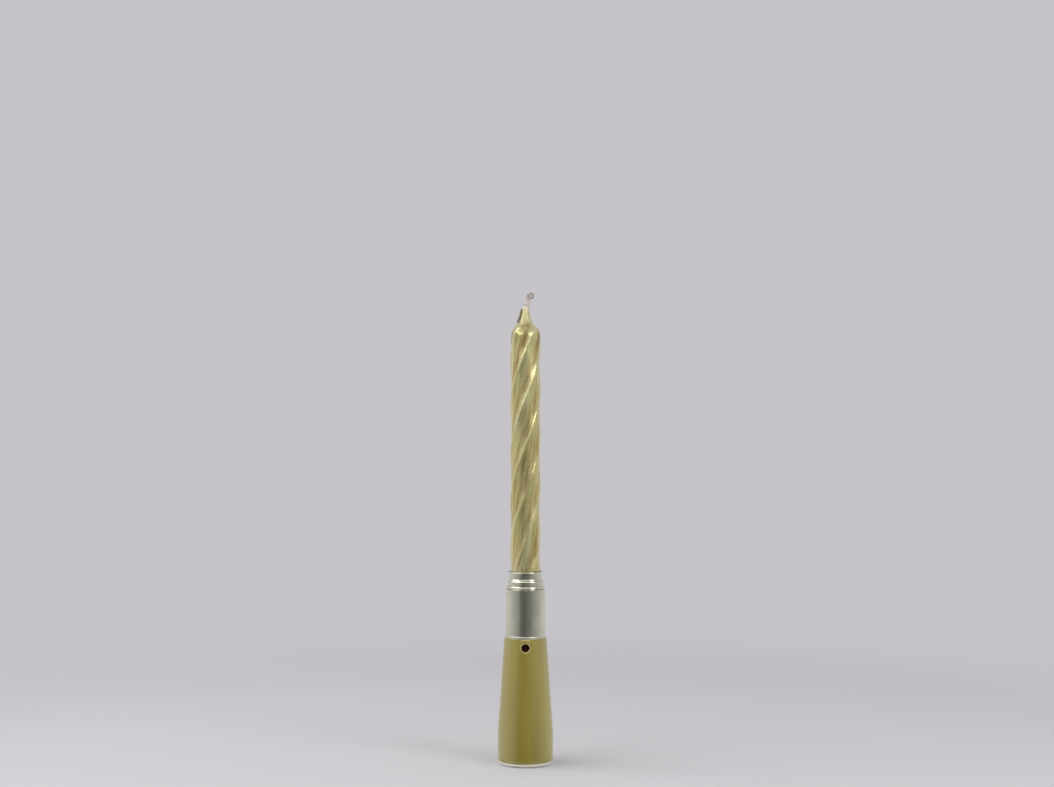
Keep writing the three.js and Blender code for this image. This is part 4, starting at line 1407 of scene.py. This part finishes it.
# Parts on the board; the chip's dome is in shares of its radius and height
chipDome = [(1.0, -0.02), (0.995, 0.10), (0.97, 0.30), (0.91, 0.50), (0.80, 0.68), (0.65, 0.82), (0.46, 0.92),
            (0.26, 0.98), (0.08, 1.0)]
transistor = {
    "lead": 0.42,
    "leadThickness": 0.12,
    "standOff": 0.08,
    "tallest": 0.3,  # what stands higher over the board than this is drawn in by the taper
    "taper": 0.88,
    "round": 0.07,
    "legShare": 1.5,  # the case's half width over a leg's distance from its middle
    "knee": 0.5,
    "gap": 0.03,
    "kneeRun": [(0, -0.3), (0, 0.08), (-0.06, 0.14)],  # height over the knee and distance out of the case
    "footRun": [(0.06, 0.16), (0, 0.22)],              # the same over the foot
}
passive = {
    "endWidth": 0.36,
    "step": 0.04,
    "round": 0.03,
    "endRound": 0.07,
    "drop": 0.16,
    "dropShare": 0.55,
    "dropLength": 0.42,
}


def makeChip(finishes):
    low, high = boxOf("melody_chip")
    radius, height = (high.x - low.x) / 2, high.y - low.y
    profile = [(out * radius, up * height) for out, up in chipDome]
    dome = turnedPiece("melodyChip", profile, smallSides, "caps")
    moveTo(dome, (0, high.y, (low.z + high.z) / 2), (90, 0, 0))
    smooth(dome, 60, False)
    dress(dome, finishes["epoxy"], "module", "chip_epoxy", "melody_chip")


def makeTransistor(finishes):
    low, high = boxOf("drive_transistor")
    reach, thickness = transistor["lead"], transistor["leadThickness"]
    bottom, top = low.z + reach, high.z - reach
    body = blockPiece("driveTransistor", (low.x, low.y + transistor["standOff"], bottom),
                      (high.x, high.y, top))
    editAll()
    selectWhere(body, lambda vertex: vertex.co.y > (low.y + transistor["tallest"]) * mm)
    taper, middle = transistor["taper"], (bottom + top) / 2
    scaleAbout((0, high.y, middle), taper, 1, taper)
    bpy.ops.object.mode_set(mode="OBJECT")
    roundEdges(body, transistor["round"], 3)
    smooth(body)
    parts, spread = [], transistor["legShare"]
    knee, foot = low.y + transistor["knee"], low.y + thickness / 2 + transistor["gap"]
    for x, edge, end in ((low.x / spread, bottom, low.z), (high.x / spread, bottom, low.z), (0, top, high.z)):
        out = 1 if end > edge else -1
        line = [(knee + rise, edge + out * run) for rise, run in transistor["kneeRun"]]
        line += [(foot + rise, edge + out * run) for rise, run in transistor["footRun"]] + [(foot, end)]
        parts.append(paint(stripPiece("transistorLead", line, reach, thickness, x), finishes["tin"]))
    seat(gather(paint(body, finishes["case"]), *parts), "module", "transistor_case", "drive_transistor")


def makePassive(finishes, name, node, finish, slotName):
    low, high = boxOf(node)
    width, step, parts = passive["endWidth"], passive["step"], []
    body = blockPiece(name, (low.x + width / 2, low.y + step, low.z + step),
                      (high.x - width / 2, high.y - step, high.z - step))
    roundEdges(body, passive["round"], 2)
    smooth(body)
    middle, length = (low.z + high.z) / 2, (high.z - low.z) / passive["dropLength"]
    for left, right, outer in ((low.x, low.x + width, low.x), (high.x - width, high.x, high.x)):
        end = blockPiece("endCap", (left, low.y, low.z), (right, high.y, high.z))
        roundEdges(end, passive["endRound"], 3)
        smooth(end)
        parts.append(paint(end, finishes["tin"]))
        drop = solderDome(finishes, (outer, low.y, middle), (-90, 0, 0), passive["drop"],
                          (high.y - low.y) * passive["dropShare"])
        editAll()
        scaleAbout((outer, low.y, middle), 1, 1, length)
        bpy.ops.object.mode_set(mode="OBJECT")
        parts.append(drop)
    seat(gather(paint(body, finishes[finish]), *parts), "module", slotName, node)


# Light sensor and the sleeve round it
sensor = {
    "length": 5.2,
    "radius": 1.5,
    "flangeHeight": 1.0,
    "flangeEdge": 0.08,
    "faceRing": 0.8,
    "flat": 1.72,
    "leg": 0.4,
    "legShare": 0.9,  # of its width, which it is thick
    "legSpread": 1.0,
    "dropPlace": (-0.4, 24.8),
    "dropSize": (0.36, 0.5),
    "jog": [(-0.6, 24.4), (-0.6, 26.3), (-0.56, 26.7), (-0.04, 27.9), (0, 28.3), (0, 28.8)],
}
sleeve = {
    "wall": 0.5,
    "round": 0.1,
    "wave": [0, 0.03, 0.01, 0.04, 0.02, 0],
}


def makeSensor(finishes):
    low, high = boxOf("phototransistor")
    radius, flange = sensor["radius"], max(high.x, high.y)
    bottom = high.z - sensor["length"]
    rim = bottom + sensor["flangeHeight"]
    profile = [(sensor["faceRing"], bottom)] + discEdge(flange, bottom, rim, sensor["flangeEdge"])
    profile += [(radius, rim)]
    profile += arc((0, high.z - radius), radius, 0, 84, 12)
    lens = turnedPiece("lightSensor", profile, smallSides, "caps")
    cutWith(lens, blockPiece("flat", (sensor["flat"], -3, bottom - 1), (3, 3, rim + 0.2)))
    smooth(lens)
    parts, wide = [], sensor["leg"]
    for side in (-1, 1):
        x = side * sensor["legSpread"]
        leg = stripPiece("sensorLeg", sensor["jog"], wide, wide * sensor["legShare"], x)
        parts.append(paint(leg, finishes["tin"]))
        parts.append(solderDome(finishes, (x, *sensor["dropPlace"]), (90, 0, 0), *sensor["dropSize"]))
    seat(gather(paint(lens, finishes["resin"]), *parts), "module", "sensor_resin", "phototransistor")


def makeSleeve(finishes):
    low, high = boxOf("light_shield")
    outer = max(high.x, high.y)
    inner = outer - sleeve["wall"]
    steps = len(sleeve["wave"]) - 1
    outside = [(outer - wave, low.z + (high.z - low.z) * step / steps)
               for step, wave in enumerate(sleeve["wave"])]
    tube = turnedPiece("sensorSleeve", outside + [(inner, high.z), (inner, low.z)], roundSides)
    roundEdges(tube, sleeve["round"], 3)
    smooth(tube, 40)
    dress(tube, finishes["shield"], "module", "shield_plastic", "light_shield")


# Leads: over the ceramic or the tab, up beside the cells and in to the board's back
lead = {
    "radius": 0.18,
    "bareRadius": 0.1,
    "circle": 4.81,
    "levels": [7.3, 10.9, 12.9, 13.7],
    "spread": 35,
    "sounderRun": [(2.4, 2.53), (2.94, 2.71), (3.22, 4.22), (3.58, 4.76), (4.25, 5.18), (4.81, 6.3)],
    "sounderPad": (1.7, 3.1),
    "tabRun": [(4.81, 5.25)],
    "tabPad": (0.0, 2.2),
    "samples": 72,
    "strip": 3,      # samples at each end that are bare
    "face": 0.4,
    "gap": 0.05,
    "boardFoot": 13.7,
    "dropRadius": 0.42,
    "dropHeights": (0.34, 0.42),
    "tabInset": 0.2,
}


def makeLead(finishes, name, node, finish, slotName, side, run, pad, start):
    # run is (distance from the axis, height); the bare ends are soldered at start and at the pad
    turn = math.radians(90 - side * lead["spread"])
    points = [Vector((math.cos(turn) * out, math.sin(turn) * out, height))
              for out, height in run + [(lead["circle"], level) for level in lead["levels"]]]
    radius, face = lead["radius"], lead["face"]
    x, rise = (side or 1) * pad[0], lead["boardFoot"] + pad[1]
    close = face + lead["gap"] + radius
    points += [Vector((x, close + 5 * radius, rise - 3 * radius)), Vector((x, close, rise)),
               Vector((x, close, rise + 3 * radius))]
    line = smoothLine(points, lead["samples"])
    strip = lead["strip"]
    cover = paint(strandPiece(name, line[strip:-strip], radius, 2, 12), finishes[finish])
    bareEnds = [strandPiece("bareEnd", line[:strip + 3], lead["bareRadius"], 2, 8),
                strandPiece("bareEnd", line[-strip - 3:], lead["bareRadius"], 2, 8)]
    atStart, atPad = lead["dropHeights"]
    drops = [solderDome(finishes, start, (0, 0, 0), lead["dropRadius"], atStart),
             solderDome(finishes, (x, face, rise + radius), (-90, 0, 0), lead["dropRadius"], atPad)]
    seat(gather(cover, *[paint(end, finishes["tin"]) for end in bareEnds], *drops), "module", slotName, node)


def makeLeads(finishes):
    for name, node, finish, slotName, side in (
            ("redLead", "piezo_lead_red", "red", "red_insulation", 1),
            ("blackLead", "piezo_lead_black", "dark", "black_insulation", -1)):
        turn = math.radians(90 - side * lead["spread"])
        out = lead["sounderRun"][0][0]
        start = (math.cos(turn) * out, math.sin(turn) * out, boxOf("piezo_ceramic")[1].z)
        makeLead(finishes, name, node, finish, slotName, side, lead["sounderRun"], lead["sounderPad"], start)
    tabTop = boxOf("negative_contact")[0].z + contact["thickness"]
    makeLead(finishes, "cellLead", "battery_lead", "dark", "black_insulation", 0, lead["tabRun"],
             lead["tabPad"], (0, lead["circle"] - lead["tabInset"], tabTop))


def makeInside(finishes):
    makeSounder(finishes)
    makeHolder(finishes)
    makeCell(finishes, "lowerCell", "lower_button_cell")
    makeCell(finishes, "upperCell", "upper_button_cell")
    makeContacts(finishes)
    makeCarrier(finishes)
    makeBoard(finishes)
    makeChip(finishes)
    makeTransistor(finishes)
    makePassive(finishes, "biasResistor", "bias_resistor", "resistor", "resistor_body")
    makePassive(finishes, "filterCapacitor", "filter_capacitor", "capacitor", "capacitor_body")
    makeSensor(finishes)
    makeSleeve(finishes)
    makeLeads(finishes)
    print("inner parts in place")


makeCamera()
makeWorld()
makeFloor()
makeCards()
makeLamps()
finishes = makeFinishes()
makeShell(finishes)
makeFootCap(finishes)
makeFerrule(finishes)
makeWax(finishes)
makeWick(finishes)
makeFibre(finishes)
makeInside(finishes)

bpy.context.scene.view_settings.view_transform = "Standard"
